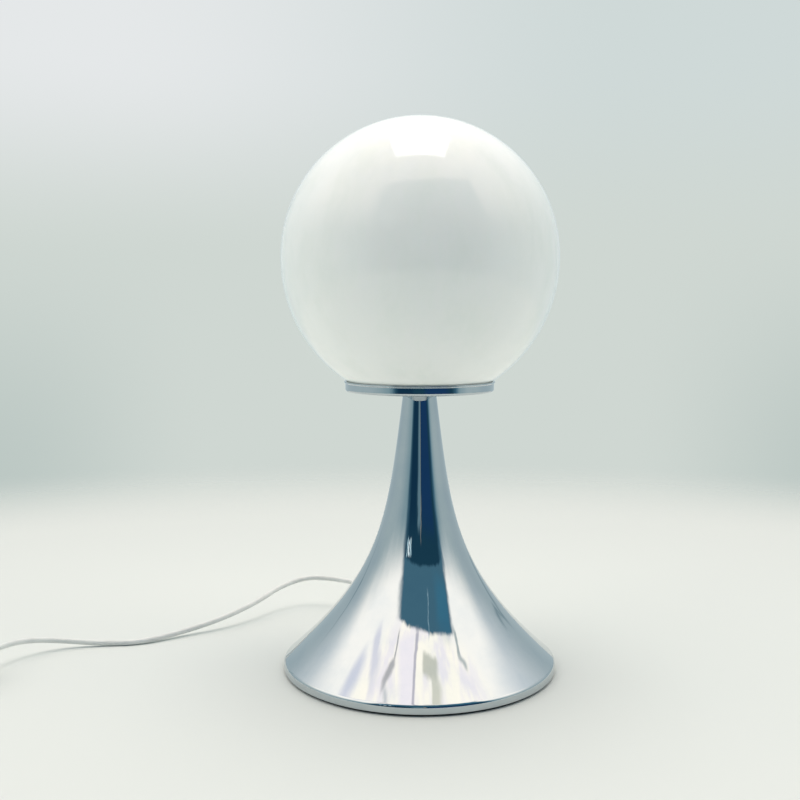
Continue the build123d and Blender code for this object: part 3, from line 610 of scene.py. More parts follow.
def rounded(corners: list[tuple[float, float, float]], steps: int = 6) -> np.ndarray:
    """Closed outline with each corner rounded by a tangent arc.

    Each arc has its centre on the bisector of its corner, and meets both sides where they are
    radius x cot(half the corner's angle) from it. A point on the side just past each end of the arc
    keeps the flats flat in the shading.

    Args:
        corners: radius, height and rounding of each corner, in order.
        steps: points on each arc.

    Returns:
        Rows of radius and height.
    """
    data = np.array(corners, float)
    place, rounding = data[:, :2], data[:, 2]
    before = np.roll(place, 1, 0) - place
    after = np.roll(place, -1, 0) - place
    before /= np.linalg.norm(before, axis=1)[:, None]
    after /= np.linalg.norm(after, axis=1)[:, None]
    half = np.arccos(np.clip((before * after).sum(1), -1, 1)) / 2
    reach = rounding / np.tan(half)
    bisector = before + after
    bisector /= np.maximum(np.linalg.norm(bisector, axis=1), TINY)[:, None]
    centre = place + bisector * (rounding / np.sin(half))[:, None]
    start, end = place + before * reach[:, None], place + after * reach[:, None]
    share = np.linspace(0, 1, steps)[None, :, None]
    chord = (start[:, None] - centre[:, None]) * (1 - share) + (end[:, None] - centre[:, None]) * share
    length = np.maximum(np.linalg.norm(chord, axis=2, keepdims=True), TINY)
    arc = centre[:, None] + chord / length * rounding[:, None, None]
    past = HOLD * rounding[:, None]
    arc = np.concatenate([(start + before * past)[:, None], arc, (end + after * past)[:, None]], 1)
    keep = np.where(rounding[:, None] > 0, True, np.arange(steps + 2) == 1)
    return arc[keep]


def bezier(points: list[tuple[float, float]], steps: int) -> np.ndarray:
    """Cubic Bezier curve through its usual weights.

    Args:
        points: its four control points.
        steps: number of points on it.

    Returns:
        Rows of radius and height.
    """
    t = np.linspace(0, 1, steps)[:, None]
    a, b, c, d = (np.array(p, float) for p in points)
    return (1 - t) ** 3 * a + 3 * t * (1 - t) ** 2 * b + 3 * t * t * (1 - t) * c + t**3 * d


def swept_tube(path: np.ndarray, radius: np.ndarray, up: Vec3, sides: int = 16) -> tuple[np.ndarray, list]:
    """Points and faces of a round tube with closed ends along a path.

    Each ring stands square to the path: one of its axes is the path's direction crossed with the up
    vector, and the other is square to both.

    Args:
        path: rows of x, y, z.
        radius: the tube's radius at each path point.
        up: a direction that the path never takes.
        sides: points round the tube.

    Returns:
        The points, and the faces by point number.
    """
    along = np.gradient(path, axis=0)
    side = np.cross(along, up)
    side /= np.linalg.norm(side, axis=1)[:, None]
    other = np.cross(along, side)
    other /= np.linalg.norm(other, axis=1)[:, None]
    angle = (np.arange(sides) * TURN / sides)[None, :, None]
    ring = np.cos(angle) * side[:, None] + np.sin(angle) * other[:, None]
    points = (path[:, None] + ring * radius[:, None, None]).reshape(-1, 3)
    faces = closed_grid_faces(len(path), sides, False, True).tolist()
    faces.append(list(range(sides))[::-1])
    faces.append(list(range(len(points) - sides, len(points))))
    return points, faces


def joined(*parts: tuple[np.ndarray, list]) -> tuple[np.ndarray, list]:
    """Put several sets of points and faces into one.

    Args:
        *parts: points and faces of each.

    Returns:
        All points, and all faces with their numbers moved on.
    """
    starts = np.cumsum([0] + [len(points) for points, _ in parts[:-1]])
    faces = [[int(start) + i for i in face] for start, (_, part) in zip(starts, parts) for face in part]
    return np.vstack([points for points, _ in parts]), faces


@dataclass(frozen=True)
class Place:
    """A level place for a piece: where its own origin lies and which way its own x points."""

    origin: Vec3
    direction: float

    def put(self, points: np.ndarray) -> np.ndarray:
        """Turn points about z by the direction in degrees, and move them to the origin."""
        turn = math.radians(self.direction)
        x = points[:, 0] * math.cos(turn) - points[:, 1] * math.sin(turn)
        y = points[:, 0] * math.sin(turn) + points[:, 1] * math.cos(turn)
        return np.stack([x, y, points[:, 2]], 1) + np.array(self.origin)


def window(place: np.ndarray, start: float, end: float, soft: float) -> np.ndarray:
    """1 between start and end and 0 outside, with a smooth edge of this width inside each end."""
    share = np.clip(np.minimum(place - start, end - place) / soft, 0, 1)
    return share * share * (3 - 2 * share)


def waves(place: np.ndarray, pitch: float) -> np.ndarray:
    """Raised cosine from 0 to 1 that repeats at this pitch."""
    return 0.5 - 0.5 * np.cos(TURN * place / pitch)


def dress(piece: bpy.types.Object, finish: Finish, body: str, slot: str, *nodes: str) -> bpy.types.Object:
    """Give a new piece its finish and its body, and hide the CAD nodes it stands for.

    Args:
        piece: the piece, in place.
        finish: its finish.
        body: the CAD body it rides on.
        slot: the record's material slot; not used.
        *nodes: CAD nodes it replaces.

    Returns:
        The piece.
    """
    piece.data.materials.clear()
    piece.data.materials.append(finish.material())
    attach(piece, body)
    if nodes:
        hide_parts(*nodes)
    LOG.info("%s rides on %s", piece.name, body)
    return piece


def paint(frame: dict, finish: Finish, *nodes: str) -> None:
    """Give CAD nodes that keep their shape a finish.

    Args:
        finish: the finish.
        *nodes: the nodes' names.
    """
    for name in nodes:
        node = frame["nodes"][name]
        node.data.materials.clear()
        node.data.materials.append(finish.material())
        LOG.info("%s keeps its shape, in %s", name, finish.value.name)


# ---------------------------------------------------------------- base


@dataclass
class TrumpetBase:
    """The spun, chromed foot: hem, upright band, flare and neck, and what is closed up inside it."""

    sheet: float = 1.2
    radius: float = 125.4
    hem_bottom: float = 2.0
    hem_width: float = 13.0
    hem_corner: float = 0.8
    band_top: float = 8.9
    rim_round: float = 4.4
    start_angle: float = 41.0
    end_angle: float = 82.8
    start_pull: float = 123.6
    end_pull: float = 116.6
    neck_radius: float = 14.8
    neck_height: float = 256.3
    rod_hole: float = 5.2
    steps: int = 170
    segments: int = 256

    def flare(self, inset: float, steps: int) -> np.ndarray:
        """Line of the flare: a cubic Bezier from the band to the neck, this far inside the outer face.

        Args:
            inset: distance inside the outer face.
            steps: number of points.

        Returns:
            Rows of radius and height, upwards.
        """
        start, end = math.radians(self.start_angle), math.radians(self.end_angle)
        low = (self.radius - inset, self.band_top + inset * math.tan(start) - inset / math.cos(start))
        neck = self.neck_radius + inset / math.tan(end) - inset / math.sin(end)
        high = (neck, self.neck_height - inset)
        after = (low[0] - self.start_pull * math.cos(start), low[1] + self.start_pull * math.sin(start))
        before = (high[0] + self.end_pull * math.cos(end), high[1] - self.end_pull * math.sin(end))
        return bezier([low, after, before, high], steps)

    def reach(self, height: np.ndarray) -> np.ndarray:
        """Radius of the flare's outer face at these heights."""
        line = self.flare(0, self.steps)
        return np.interp(height, line[:, 1], line[:, 0])

    def shell(self) -> bpy.types.Object:
        """Turn the closed section of the sheet about the axis and chrome it."""
        outside, inside = self.flare(0, self.steps), self.flare(self.sheet, self.steps // 3)[::-1]
        corners = [
            (self.radius - self.hem_width, self.hem_bottom, 0.3),
            (self.radius, self.hem_bottom, self.hem_corner),
            (self.radius, self.band_top, self.rim_round),
            *[(r, z, 0) for r, z in outside[1:]],
            (self.rod_hole, self.neck_height, 0),
            (self.rod_hole, self.neck_height - self.sheet, 0),
            *[(r, z, 0) for r, z in inside],
            (self.radius - self.sheet, self.hem_bottom + self.sheet, 0.6),
            (self.radius - self.hem_width, self.hem_bottom + self.sheet, 0.3),
        ]
        piece = turned_piece("trumpet_shell", rounded(corners), self.segments)
        return dress(piece, Finish.CHROME, "root", "chrome", "trumpet_base")

    def build(self, frame: dict) -> None:
        """Build the shell and paint the pieces inside and under it."""
        self.shell()
        paint(frame, Finish.ENAMEL, "base_plate")
        paint(frame, Finish.FELT, "felt_pad")
        paint(frame, Finish.IRON, "ballast_disc")
        paint(frame, Finish.ZINC, "ballast_nut", "stem_tube", "stem_lower_nut", "stem_lower_washer")
        paint(frame, Finish.ZINC, "cord_clamp", "cord_clamp_screws", "stem_upper_washer", "stem_upper_nut")
        paint(frame, Finish.PVC, "inner_flex")


# ---------------------------------------------------------------- head


@dataclass
class Gallery:
    """The shallow chromed dish on the neck, and the soft ring in it that the glass stands on."""

    floor: float = 257.5
    bottom: float = 256.3
    top: float = 265.5
    radius: float = 67.7
    bead_radius: float = 68.65
    bead_height: float = 2.0
    inner_radius: float = 66.5
    corner: float = 2.2
    inner_corner: float = 1.0
    rod_hole: float = 5.2
    segments: int = 256

    def dish(self) -> bpy.types.Object:
        """Turn the dish's section: flat floor, rounded corner, upright wall and a small bead."""
        reach = self.bead_radius - self.radius
        bead_bottom = self.top - self.bead_height
        corners = [
            (self.rod_hole, self.bottom, 0),
            (self.radius, self.bottom, self.corner),
            (self.radius, bead_bottom, 0.25),
            (self.bead_radius, bead_bottom + reach, 0.3),
            (self.bead_radius, self.top, reach / 2),
            (self.inner_radius, self.top, 0.3),
            (self.inner_radius, self.floor, self.inner_corner),
            (self.rod_hole, self.floor, 0),
        ]
        piece = turned_piece("gallery_dish_shell", rounded(corners, 8), self.segments, 30)
        return dress(piece, Finish.CHROME, "root", "chrome", "gallery_dish")

    def build(self, frame: dict) -> None:
        """Build the dish and paint its ring."""
        self.dish()
        paint(frame, Finish.RUBBER, "globe_gasket")


@dataclass
class Globe:
    """The blown opal globe: a circle above its middle, an ellipse below it down to its open mouth."""

    radius: float = 125.0
    drop: float = 130.2
    mouth_radius: float = 56.4
    mouth_height: float = 259.8
    wall: float = 3.0
    lip: float = 1.2
    rows: int = 96
    segments: int = 224

    def wall_line(self, inset: float, rows: int) -> np.ndarray:
        """Half outline from the mouth to the top.

        At elevation a the point is (R cos a, D sin a) below the middle and (R cos a, R sin a) above
        it, where R and D are the radius and the drop less the inset.

        Args:
            inset: distance inside the outer face.
            rows: number of points.

        Returns:
            Rows of radius and height, upwards.
        """
        radius, drop = self.radius - inset, self.drop - inset
        middle = self.mouth_height + self.drop * math.sqrt(1 - (self.mouth_radius / self.radius) ** 2)
        mouth = math.asin((middle - self.mouth_height) / self.drop)
        angle = np.linspace(-mouth, math.pi / 2, rows)
        reach = np.where(angle < 0, drop, radius)
        line = np.stack([radius * np.cos(angle), middle + reach * np.sin(angle)], 1)
        line[-1, 0] = 0
        return line

    def build(self) -> None:
        """Turn the wall and give it its glass; the lip at the mouth is fire-polished round."""
        outside, inside = self.wall_line(0, self.rows), self.wall_line(self.wall, self.rows)[::-1]
        corners = [(r, z, 0) for r, z in inside[1:-1]]
        corners += [(*inside[-1], self.lip), (*outside[0], self.lip)]
        corners += [(r, z, 0) for r, z in outside[1:-1]]
        outline = np.vstack([inside[:1], rounded(corners), outside[-1:]])
        piece = turned_piece("opal_globe", outline, self.segments)
        dress(piece, Finish.OPAL, "globe", "opal_glass", "glass_globe")


@dataclass
class LampHolder:
    """The black lampholder inside the globe: cap on the rod, body, insert and contacts."""

    bottom: float = 263.3
    hub_radius: float = 8.0
    hub: float = 3.0
    radius: float = 20.0
    wall: float = 2.0
    cone: float = 10.0
    skirt: float = 10.0
    body: float = 29.0
    rod_hole: float = 5.1
    lip_radius: float = 13.71
    grips: int = 36
    grip_depth: float = 0.55
    thread_pitch: float = 2.5
    thread_depth: float = 0.6
    segments: int = 288

    def angle(self) -> np.ndarray:
        """Angles of the turned points, in radians."""
        return np.arange(self.segments)[None] * TURN / self.segments

    def side(self, bottom: float, top: float) -> list[Vec3]:
        """Outline points up the outer wall, every quarter of a millimetre."""
        return [(self.radius, float(z), 0) for z in np.arange(bottom, top, 0.25)]

    def cap(self) -> bpy.types.Object:
        """Turn the cap: hub, cone and a skirt with grip flutes.

        The flutes cut grip_depth x a raised cosine of the angle out of the skirt's outer wall.
        """
        cone, skirt = self.bottom + self.hub, self.bottom + self.hub + self.cone
        top, inner = skirt + self.skirt, self.radius - self.wall
        corners = [
            (self.rod_hole, self.bottom, 0),
            (self.hub_radius, self.bottom, 0.5),
            (self.hub_radius, cone, 0.8),
            (self.radius, skirt, 1.6),
            *self.side(skirt + 1.2, top - 0.6),
            (self.radius, top, 0.35),
            (inner, top, 0.2),
            (inner, skirt + self.wall / 2, 0.8),
            (self.hub_radius, cone + self.wall, 0.5),
            (self.rod_hole, cone + self.wall, 0),
        ]
        outline = rounded(corners)
        outer = (outline[:, :1] > self.radius - 0.01) * window(outline[:, 1:], skirt + 1.4, top - 1.4, 0.9)
        relief = outer * self.grip_depth * waves(self.angle(), TURN / self.grips)
        return turned_piece("lampholder_cap", outline, self.segments, 40, relief)

    def shell(self) -> bpy.types.Object:
        """Turn the body: a fluted band, the thread for a shade ring, and the lip over the sleeve.

        The thread cuts thread_depth x a raised cosine of (height / pitch - angle / a turn) out of the
        wall, which is a screw line.
        """
        bottom = self.bottom + self.hub + self.cone + self.skirt
        top, inner = bottom + self.body, self.radius - self.wall
        corners = [
            (inner, bottom, 0.2),
            (self.radius, bottom, 0.35),
            *self.side(bottom + 0.6, top - 0.9),
            (self.radius, top, 0.7),
            (self.lip_radius, top, 0.5),
            (self.lip_radius, top - self.wall, 0.2),
            (inner, top - self.wall, 0.5),
        ]
        outline = rounded(corners)
        height = outline[:, 1:]
        outer = outline[:, :1] > self.radius - 0.01
        flutes = window(height, bottom + 1.2, bottom + 8.5, 0.9) * waves(self.angle(), TURN / self.grips)
        screw = waves(height - self.angle() * self.thread_pitch / TURN, self.thread_pitch)
        thread = window(height, bottom + 11, top - 2, 1.0) * self.thread_depth * screw
        relief = outer * (flutes * self.grip_depth + thread)
        return turned_piece("lampholder_body", outline, self.segments, 40, relief)

    def build(self, frame: dict) -> None:
        """Build cap and body and paint what they hold."""
        dress(self.cap(), Finish.BAKELITE, "root", "black_moulding", "holder_cap")
        dress(self.shell(), Finish.BAKELITE, "root", "black_moulding", "holder_body")
        paint(frame, Finish.PORCELAIN, "holder_insert")
        paint(frame, Finish.BRASS, "terminal_screws", "centre_contact")
        paint(frame, Finish.NICKEL, "screw_contact")
        paint(frame, Finish.CORES, "core_wires")


@dataclass
class Bulb:
    """The clear filament bulb: blown envelope, rolled screw cap, glass stem and coiled filament."""

    foot: float = 289.9
    centre: float = 363.9
    radius: float = 30.0
    neck_radius: float = 12.4
    glass: float = 0.8
    shoulder: float = 38.0
    cap_radius: float = 13.15
    cap_foot: float = 6.1
    cap_height: float = 19.0
    cap_wall: float = 0.5
    cap_hole: float = 9.6
    thread_pitch: float = 3.6
    thread_depth: float = 0.95
    bead_depth: float = 0.25
    segments: int = 192
    filament_spread: float = 9.0
    bow_forward: float = 4.2
    bow_up: float = 1.8
    coil_radius: float = 0.3
    coil_pitch: float = 0.34
    coil_points: int = 900
    lead_points: int = 24
    wire_radius: float = 0.09
    lead_radius: float = 0.3
    mount_radius: float = 3.5
    mount_top: float = 332.67

    def glass_line(self, inset: float) -> np.ndarray:
        """Half outline of the envelope: straight neck, Bezier shoulder and round top.

        Args:
            inset: distance inside the outer face.

        Returns:
            Rows of radius and height, upwards.
        """
        cap_top = self.foot + self.cap_foot + self.cap_height
        radius, neck, low = self.radius - inset, self.neck_radius - inset, math.radians(-self.shoulder)
        meeting = (radius * math.cos(low), self.centre + radius * math.sin(low))
        pull = (meeting[1] - cap_top) / 2
        before = (meeting[0] + math.sin(low) * pull, meeting[1] - math.cos(low) * pull)
        curve = bezier([(neck, cap_top), (neck, cap_top + pull), before, meeting], 30)
        angle = np.linspace(low, math.pi / 2, 60)[1:]
        dome = np.stack([radius * np.cos(angle), self.centre + radius * np.sin(angle)], 1)
        dome[-1, 0] = 0
        return np.vstack([[neck, cap_top - self.cap_height / 3], curve, dome])

    def envelope(self) -> bpy.types.Object:
        """Turn the glass: down its inside from the top, and up its outside."""
        inside, outside = self.glass_line(self.glass)[::-1], self.glass_line(0)
        return turned_piece("bulb_envelope", np.vstack([inside, outside]), 160)

    def screw_cap(self) -> bpy.types.Object:
        """Turn the thin cap, whose thread is rolled in, so that both faces follow the screw line."""
        bottom = self.foot + self.cap_foot
        top, slope = bottom + self.cap_height, (self.cap_radius - self.cap_hole) / 2
        inner = self.cap_radius - self.cap_wall
        up = [(self.cap_radius, float(z), 0) for z in np.arange(bottom + slope + 0.8, top - 0.5, 0.2)]
        down = [(inner, z, 0) for _, z, _ in up[::-1]]
        corners = [
            (self.cap_hole, bottom, 0.15),
            (self.cap_radius, bottom + slope, 0.6),
            *up,
            (self.cap_radius, top, 0.1),
            (inner, top, 0.1),
            *down,
            (inner, bottom + slope + self.cap_wall / 2, 0.3),
            (self.cap_hole, bottom + self.cap_wall, 0.15),
        ]
        outline = rounded(corners)
        angle = np.arange(self.segments)[None] * TURN / self.segments
        height = outline[:, 1:]
        wall = outline[:, :1] > inner - 0.01
        thread = self.thread_depth * window(height, bottom + 2.6, bottom + 12.4, 1.2)
        screw = waves(height - angle * self.thread_pitch / TURN, self.thread_pitch)
        bead = self.bead_depth * window(height, top - 4.2, top - 3.0, 0.6)
        return turned_piece("bulb_screw_cap", outline, self.segments, 50, wall * (thread * screw + bead))

    def filament(self) -> bpy.types.Object:
        """Coil the tungsten between two leads.

        At share s of its way and after a turn of a, one for each pitch, the coil's point is
        (spread x (2s - 1), forward bow x sin(pi s) + c cos a, middle + upward bow x sin(pi s) + c sin a).
        Each lead is a Bezier from the glass stem outwards to an end of the coil.
        """
        share = np.linspace(0, 1, self.coil_points)
        wound = TURN * 2 * self.filament_spread / self.coil_pitch * share
        bow = np.sin(math.pi * share)
        x = self.filament_spread * (2 * share - 1)
        y = self.bow_forward * bow + self.coil_radius * np.cos(wound)
        z = self.centre + self.bow_up * bow + self.coil_radius * np.sin(wound)
        wire = np.full(self.coil_points, self.wire_radius)
        parts = [swept_tube(np.stack([x, y, z], 1), wire, (0.9, 0.1, 0.05), 6)]
        foot = self.mount_radius - 0.4 - self.lead_radius
        for hand in (-1, 1):
            stem = [(hand * foot, self.mount_top), (hand * foot, self.mount_top + 9)]
            reach = [(hand * 7, self.centre - 9), (hand * self.filament_spread, self.centre + 0.6)]
            line = bezier(stem + reach, self.lead_points)
            path = np.stack([line[:, 0], 0 * line[:, 0], line[:, 1]], 1)
            lead = np.full(self.lead_points, self.lead_radius)
            parts.append(swept_tube(path, lead, (0, 1, 0), 12))
        return add_mesh("coiled_filament", *joined(*parts))

    def build(self, frame: dict) -> None:
        """Build the envelope, cap and filament, and paint the rest."""
        dress(self.envelope(), Finish.CLEAR, "bulb", "clear_glass", "bulb_glass")
        dress(self.screw_cap(), Finish.CAP, "bulb", "bulb_cap_metal", "bulb_cap")
        dress(self.filament(), Finish.TUNGSTEN, "bulb", "filament_wire", "bulb_filament")
        paint(frame, Finish.CLEAR, "bulb_mount")
        paint(frame, Finish.VITRITE, "bulb_insulator")
        paint(frame, Finish.SOLDER, "bulb_tip")


# ---------------------------------------------------------------- flex


@dataclass
class Boot:
    """Tapered strain relief where the flex leaves the flare, with a flange that hugs the slope."""

    base: TrumpetBase
    height: float = 27.0
    direction: float = 112.05
    radius: float = 5.0
    tip_radius: float = 3.5
    bore: float = 2.7
    inside: float = 5.2
    taper_start: float = 7.0
    outside: float = 25.2
    flange_radius: float = 8.5
    flange: float = 1.4
    rings: int = 5
    ring_depth: float = 0.28
    sides: int = 64

    def build(self) -> None:
        """Build the boot on a closed grid.

        Each row has a distance s from the wall, a radius p and a share w. The point at angle t is
        s + w x (flare's reach at (p, t) - reach at the centre) along the exit's direction, p cos t
        across it and p sin t above it, so that rows with a share of 1 follow the flare. The ribs add a
        raised cosine to the taper.
        """
        taper = np.linspace(self.taper_start, self.outside, 20 * self.rings + 1)
        share = (taper - self.taper_start) / (self.outside - self.taper_start)
        rib = np.where(share < 1, 0.5 - 0.5 * np.cos(TURN * self.rings * share), 0)
        taper_radius = self.radius + (self.tip_radius - self.radius) * share - self.ring_depth * rib
        edge, thick = self.flange_radius, self.flange * math.sqrt(2)
        rows = [
            (-self.inside, self.bore, 0),
            (-self.inside, self.radius - 0.2, 0),
            (-0.8, self.radius - 0.1, 1),
            (-0.3, edge - 0.2, 1),
            (0.2, edge, 1),
            (0.6 * thick, edge, 1),
            (0.85 * thick, edge - 0.2, 1),
            (thick, edge - 0.7, 1),
            (thick, self.radius + 1.3, 1),
            (1.2 * thick, self.radius + 0.5, 0.9),
            (1.7 * thick, self.radius + 0.1, 0.5),
            (0.9 * self.taper_start, self.radius, 0),
        ]
        rows += list(zip(taper, taper_radius, np.zeros_like(taper)))
        rows += [(self.outside, self.bore + 0.15, 0), (self.outside - 0.4, self.bore, 0)]
        place, radius, follow = np.array(rows).T[:, :, None]
        angle = np.arange(self.sides) * TURN / self.sides
        across, above = radius * np.cos(angle), radius * np.sin(angle)
        reach = np.sqrt(self.base.reach(self.height + above) ** 2 - across**2)
        wall = float(self.base.reach(np.array(self.height)))
        along = wall + place + follow * (reach - wall)
        turn = math.radians(self.direction)
        x = along * math.cos(turn) - across * math.sin(turn)
        y = along * math.sin(turn) + across * math.cos(turn)
        points = np.stack([x, y, self.height + above], -1).reshape(-1, 3)
        faces = closed_grid_faces(len(rows), self.sides, True, True)
        piece = add_mesh("flex_boot", points, faces.tolist())
        dress(piece, Finish.RUBBER, "root", "white_rubber", "cord_boot")


@dataclass
class Flex:
    """The white mains flex: from the boot to the switch, and from there through its coil to the plug.

    The part that the photograph doesn't show is put away in a neat coil of two layers.
    """

    diameter: float = 0.0054
    to_switch: tuple[Vec3, ...] = (
        (-0.04909, 0.12119, 0.027),
        (-0.05889, 0.14538, 0.027),
        (-0.069, 0.170, 0.0307),
        (-0.093, 0.183, 0.0315),
        (-0.126, 0.189, 0.0322),
        (-0.154, 0.169, 0.0261),
        (-0.174, 0.132, 0.0191),
        (-0.203, 0.101, 0.0115),
        (-0.237, 0.079, 0.0049),
        (-0.275, 0.048, 0.0028),
        (-0.314, 0.045, 0.0029),
        (-0.350, 0.036, 0.0084),
        (-0.375, 0.011, 0.0168),
        (-0.3864, -0.0192, 0.0206),
        (-0.394, -0.042, 0.0206),
    )
    to_coil: tuple[Vec3, ...] = (
        (-0.413, -0.099, 0.0206),
        (-0.420, -0.120, 0.0206),
        (-0.439, -0.131, 0.0184),
        (-0.461, -0.127, 0.0144),
        (-0.475, -0.110, 0.0108),
        (-0.474, -0.087, 0.0084),
    )
    to_plug: tuple[Vec3, ...] = (
        (-0.4718, -0.062, 0.0028),
        (-0.4718, -0.048, 0.0034),
        (-0.4718, -0.034, 0.00685),
        (-0.4718, -0.022, 0.00685),
    )
    coil_centre: tuple[float, float] = (-0.434, -0.060)
    coil_start: float = 189.8
    points_a_turn: int = 16
    # turn, radius and height of the flex where its winding changes
    winding: tuple[Vec3, ...] = (
        (0.0, 0.0351, 0.0080),
        (0.1, 0.0351, 0.0075),
        (0.8, 0.0351, 0.0076),
        (0.9, 0.0324, 0.0083),
        (1.0, 0.0297, 0.0082),
        (1.1, 0.0297, 0.0075),
        (1.5, 0.0297, 0.0076),
        (1.62, 0.0270, 0.0083),
        (1.69, 0.0240, 0.0075),
        (1.77, 0.0217, 0.0050),
        (1.85, 0.0216, 0.0028),
        (2.05, 0.0270, 0.0028),
        (2.85, 0.0270, 0.0028),
        (3.05, 0.0324, 0.0028),
        (3.85, 0.0324, 0.0028),
        (4.05, 0.0378, 0.0028),
        (5.0, 0.0378, 0.0028),
    )

    def coil(self) -> list[Vec3]:
        """Control points of the coil's turns.

        They run clockwise seen from above, at the winding's radius over the cosine of half a step, so
        that the curve itself has that radius.

        Returns:
            The points, in metres.
        """
        turn, radius, height = np.array(self.winding).T
        place = np.arange(int(self.points_a_turn * turn[-1]) + 1) / self.points_a_turn
        reach = np.interp(place, turn, radius) / math.cos(math.pi / self.points_a_turn)
        angle = math.radians(self.coil_start) - place * TURN
        x = self.coil_centre[0] + reach * np.cos(angle)
        y = self.coil_centre[1] + reach * np.sin(angle)
        return [tuple(row) for row in np.stack([x, y, np.interp(place, turn, height)], 1).tolist()]

    def curve(self, name: str, points: list[Vec3]) -> bpy.types.Object:
        """Smooth round flex along control points.

        Args:
            name: the piece's name.
            points: the control points, in metres.

        Returns:
            The curve object.
        """
        line = bpy.data.curves.new(name, "CURVE")
        line.dimensions = "3D"
        spline = line.splines.new("NURBS")
        spline.points.add(len(points) - 1)
        spline.points.foreach_set("co", np.hstack([np.array(points), np.ones((len(points), 1))]).ravel())
        spline.order_u = 3
        spline.use_endpoint_u = True
        line.resolution_u = 10
        line.bevel_depth = self.diameter / 2
        line.bevel_resolution = 6
        line.use_fill_caps = True
        piece = bpy.data.objects.new(name, line)
        bpy.context.scene.collection.objects.link(piece)
        return piece

    def build(self, frame: dict) -> None:
        first = self.curve("flex", list(self.to_switch))
        dress(first, Finish.PVC, "root", "white_flex", "supply_cord")
        tail = self.curve("flex_tail", [*self.to_coil, *self.coil(), *self.to_plug])
        dress(tail, Finish.PVC, "root", "white_flex", "switch_tail_cord", "cord_coil", "plug_tail_cord")


@dataclass
class Switch:
    """The rocker switch on the flex, with ribbed collars, a lip round its rocker and grips on it."""

    place: Place = Place((-403.5, -70.5, 20.6), 251.565)
    length: float = 60.0
    height: float = 20.4
    flex_radius: float = 2.76
    collar: float = 7.0
    collar_radius: float = 4.8
    collar_tip: float = 3.5
    ribs: int = 4
    sides: int = 48
    rib_depth: float = 0.4
    pivot: float = 6.2
    tilt: float = 6.5
    rocker_length: float = 21.6
    rocker_rise: float = 5.0
    rocker_dip: float = 1.2
    opening: Span = (11.45, 5.75)
    lip: float = 0.9
    lip_corner: int = 12
    lip_steps: int = 144
    grip_places: tuple[float, ...] = (-9.2, -7.9, -6.6, 6.6, 7.9, 9.2)
    grip_half: float = 3.6
    grip_radius: float = 0.42
    grip_points: int = 25

    def collars(self) -> bpy.types.Object:
        """Two tapered collars that hold the flex, each with rings cut into it by a raised cosine."""
        out = np.linspace(0.0, self.collar, 49)
        share = out / self.collar
        ringed = self.rib_depth * window(share, 0.08, 0.96, 0.1) * waves(share, 0.88 / self.ribs)
        radius = self.collar_radius + (self.collar_tip - self.collar_radius) * share - ringed
        rows = [(0.0, self.flex_radius), *zip(out, radius)]
        rows += [(self.collar + 0.25, self.collar_tip - 0.3), (self.collar + 0.25, self.flex_radius)]
        along, reach = np.array(rows).T[:, :, None]
        angle = np.arange(self.sides)[None] * TURN / self.sides
        parts = []
        for hand in (-1, 1):
            x = hand * (self.length / 2 - 0.05 + along) + 0 * angle
            points = np.stack([x, hand * reach * np.cos(angle), reach * np.sin(angle)], -1).reshape(-1, 3)
            parts.append((points, closed_grid_faces(len(rows), self.sides, True, True).tolist()))
        points, faces = joined(*parts)
        return add_mesh("switch_collars", self.place.put(points), faces)

    def lip_ring(self) -> bpy.types.Object:
        """Raised half-round lip round the rocker's opening.

        Its middle line is a superellipse, |x / a|^p + |y / b|^p = 1, and its section a half circle.
        """
        angle, p = np.arange(self.lip_steps) * TURN / self.lip_steps, self.lip_corner
        a, b = self.opening[0] + self.lip / 2, self.opening[1] + self.lip / 2
        size = ((np.abs(np.cos(angle)) / a) ** p + (np.abs(np.sin(angle)) / b) ** p) ** (-1 / p)
        x, y = size * np.cos(angle), size * np.sin(angle)
        turn = np.linspace(-0.25, 0.75, 15)[:, None] * TURN * 0.999
        out = self.lip / 2 * np.clip(np.cos(turn), -1, 1)
        up = np.maximum(self.lip * 0.55 * np.sin(turn), -0.3) + self.height / 2
        reach = np.hypot(x, y)
        points = np.stack([x * (1 + out / reach), y * (1 + out / reach), up + 0 * x], -1).reshape(-1, 3)
        faces = closed_grid_faces(len(turn), self.lip_steps, True, True).tolist()
        return add_mesh("switch_lip", self.place.put(points), faces)

    def rocker_grips(self) -> bpy.types.Object:
        """Three ridges across each end of the rocker, tilted with it."""
        slope = self.rocker_dip / (self.rocker_length / 2)
        tilt = math.radians(self.tilt)
        across = np.linspace(-self.grip_half, self.grip_half, self.grip_points)
        ends = np.clip(1 - (across / (self.grip_half + 0.15)) ** 6, 0.02, 1)
        parts = []
        for place in self.grip_places:
            height = self.rocker_rise - self.rocker_dip + slope * abs(place) - 0.08
            x = place * math.cos(tilt) + height * math.sin(tilt)
            z = -place * math.sin(tilt) + height * math.cos(tilt) + self.pivot
            path = np.stack([0 * across + x, across, 0 * across + z], 1)
            parts.append(swept_tube(path, self.grip_radius * np.sqrt(ends), (0, 0, 1)))
        points, faces = joined(*parts)
        return add_mesh("rocker_grips", self.place.put(points), faces, 60)

    def build(self, frame: dict) -> None:
        """Build the trim and paint the switch's pieces."""
        dress(self.collars(), Finish.RUBBER, "root", "white_rubber")
        dress(self.lip_ring(), Finish.ABS, "root", "white_moulding")
        dress(self.rocker_grips(), Finish.ABS, "rocker", "white_moulding")
        paint(frame, Finish.ABS, "switch_lower_shell", "switch_upper_shell", "switch_rocker")
        paint(frame, Finish.ZINC, "switch_screws")
        paint(frame, Finish.BRASS, "switch_bridge", "switch_contacts")
        paint(frame, Finish.PVC, "switch_flex_ends")
        paint(frame, Finish.CORES, "switch_cores")


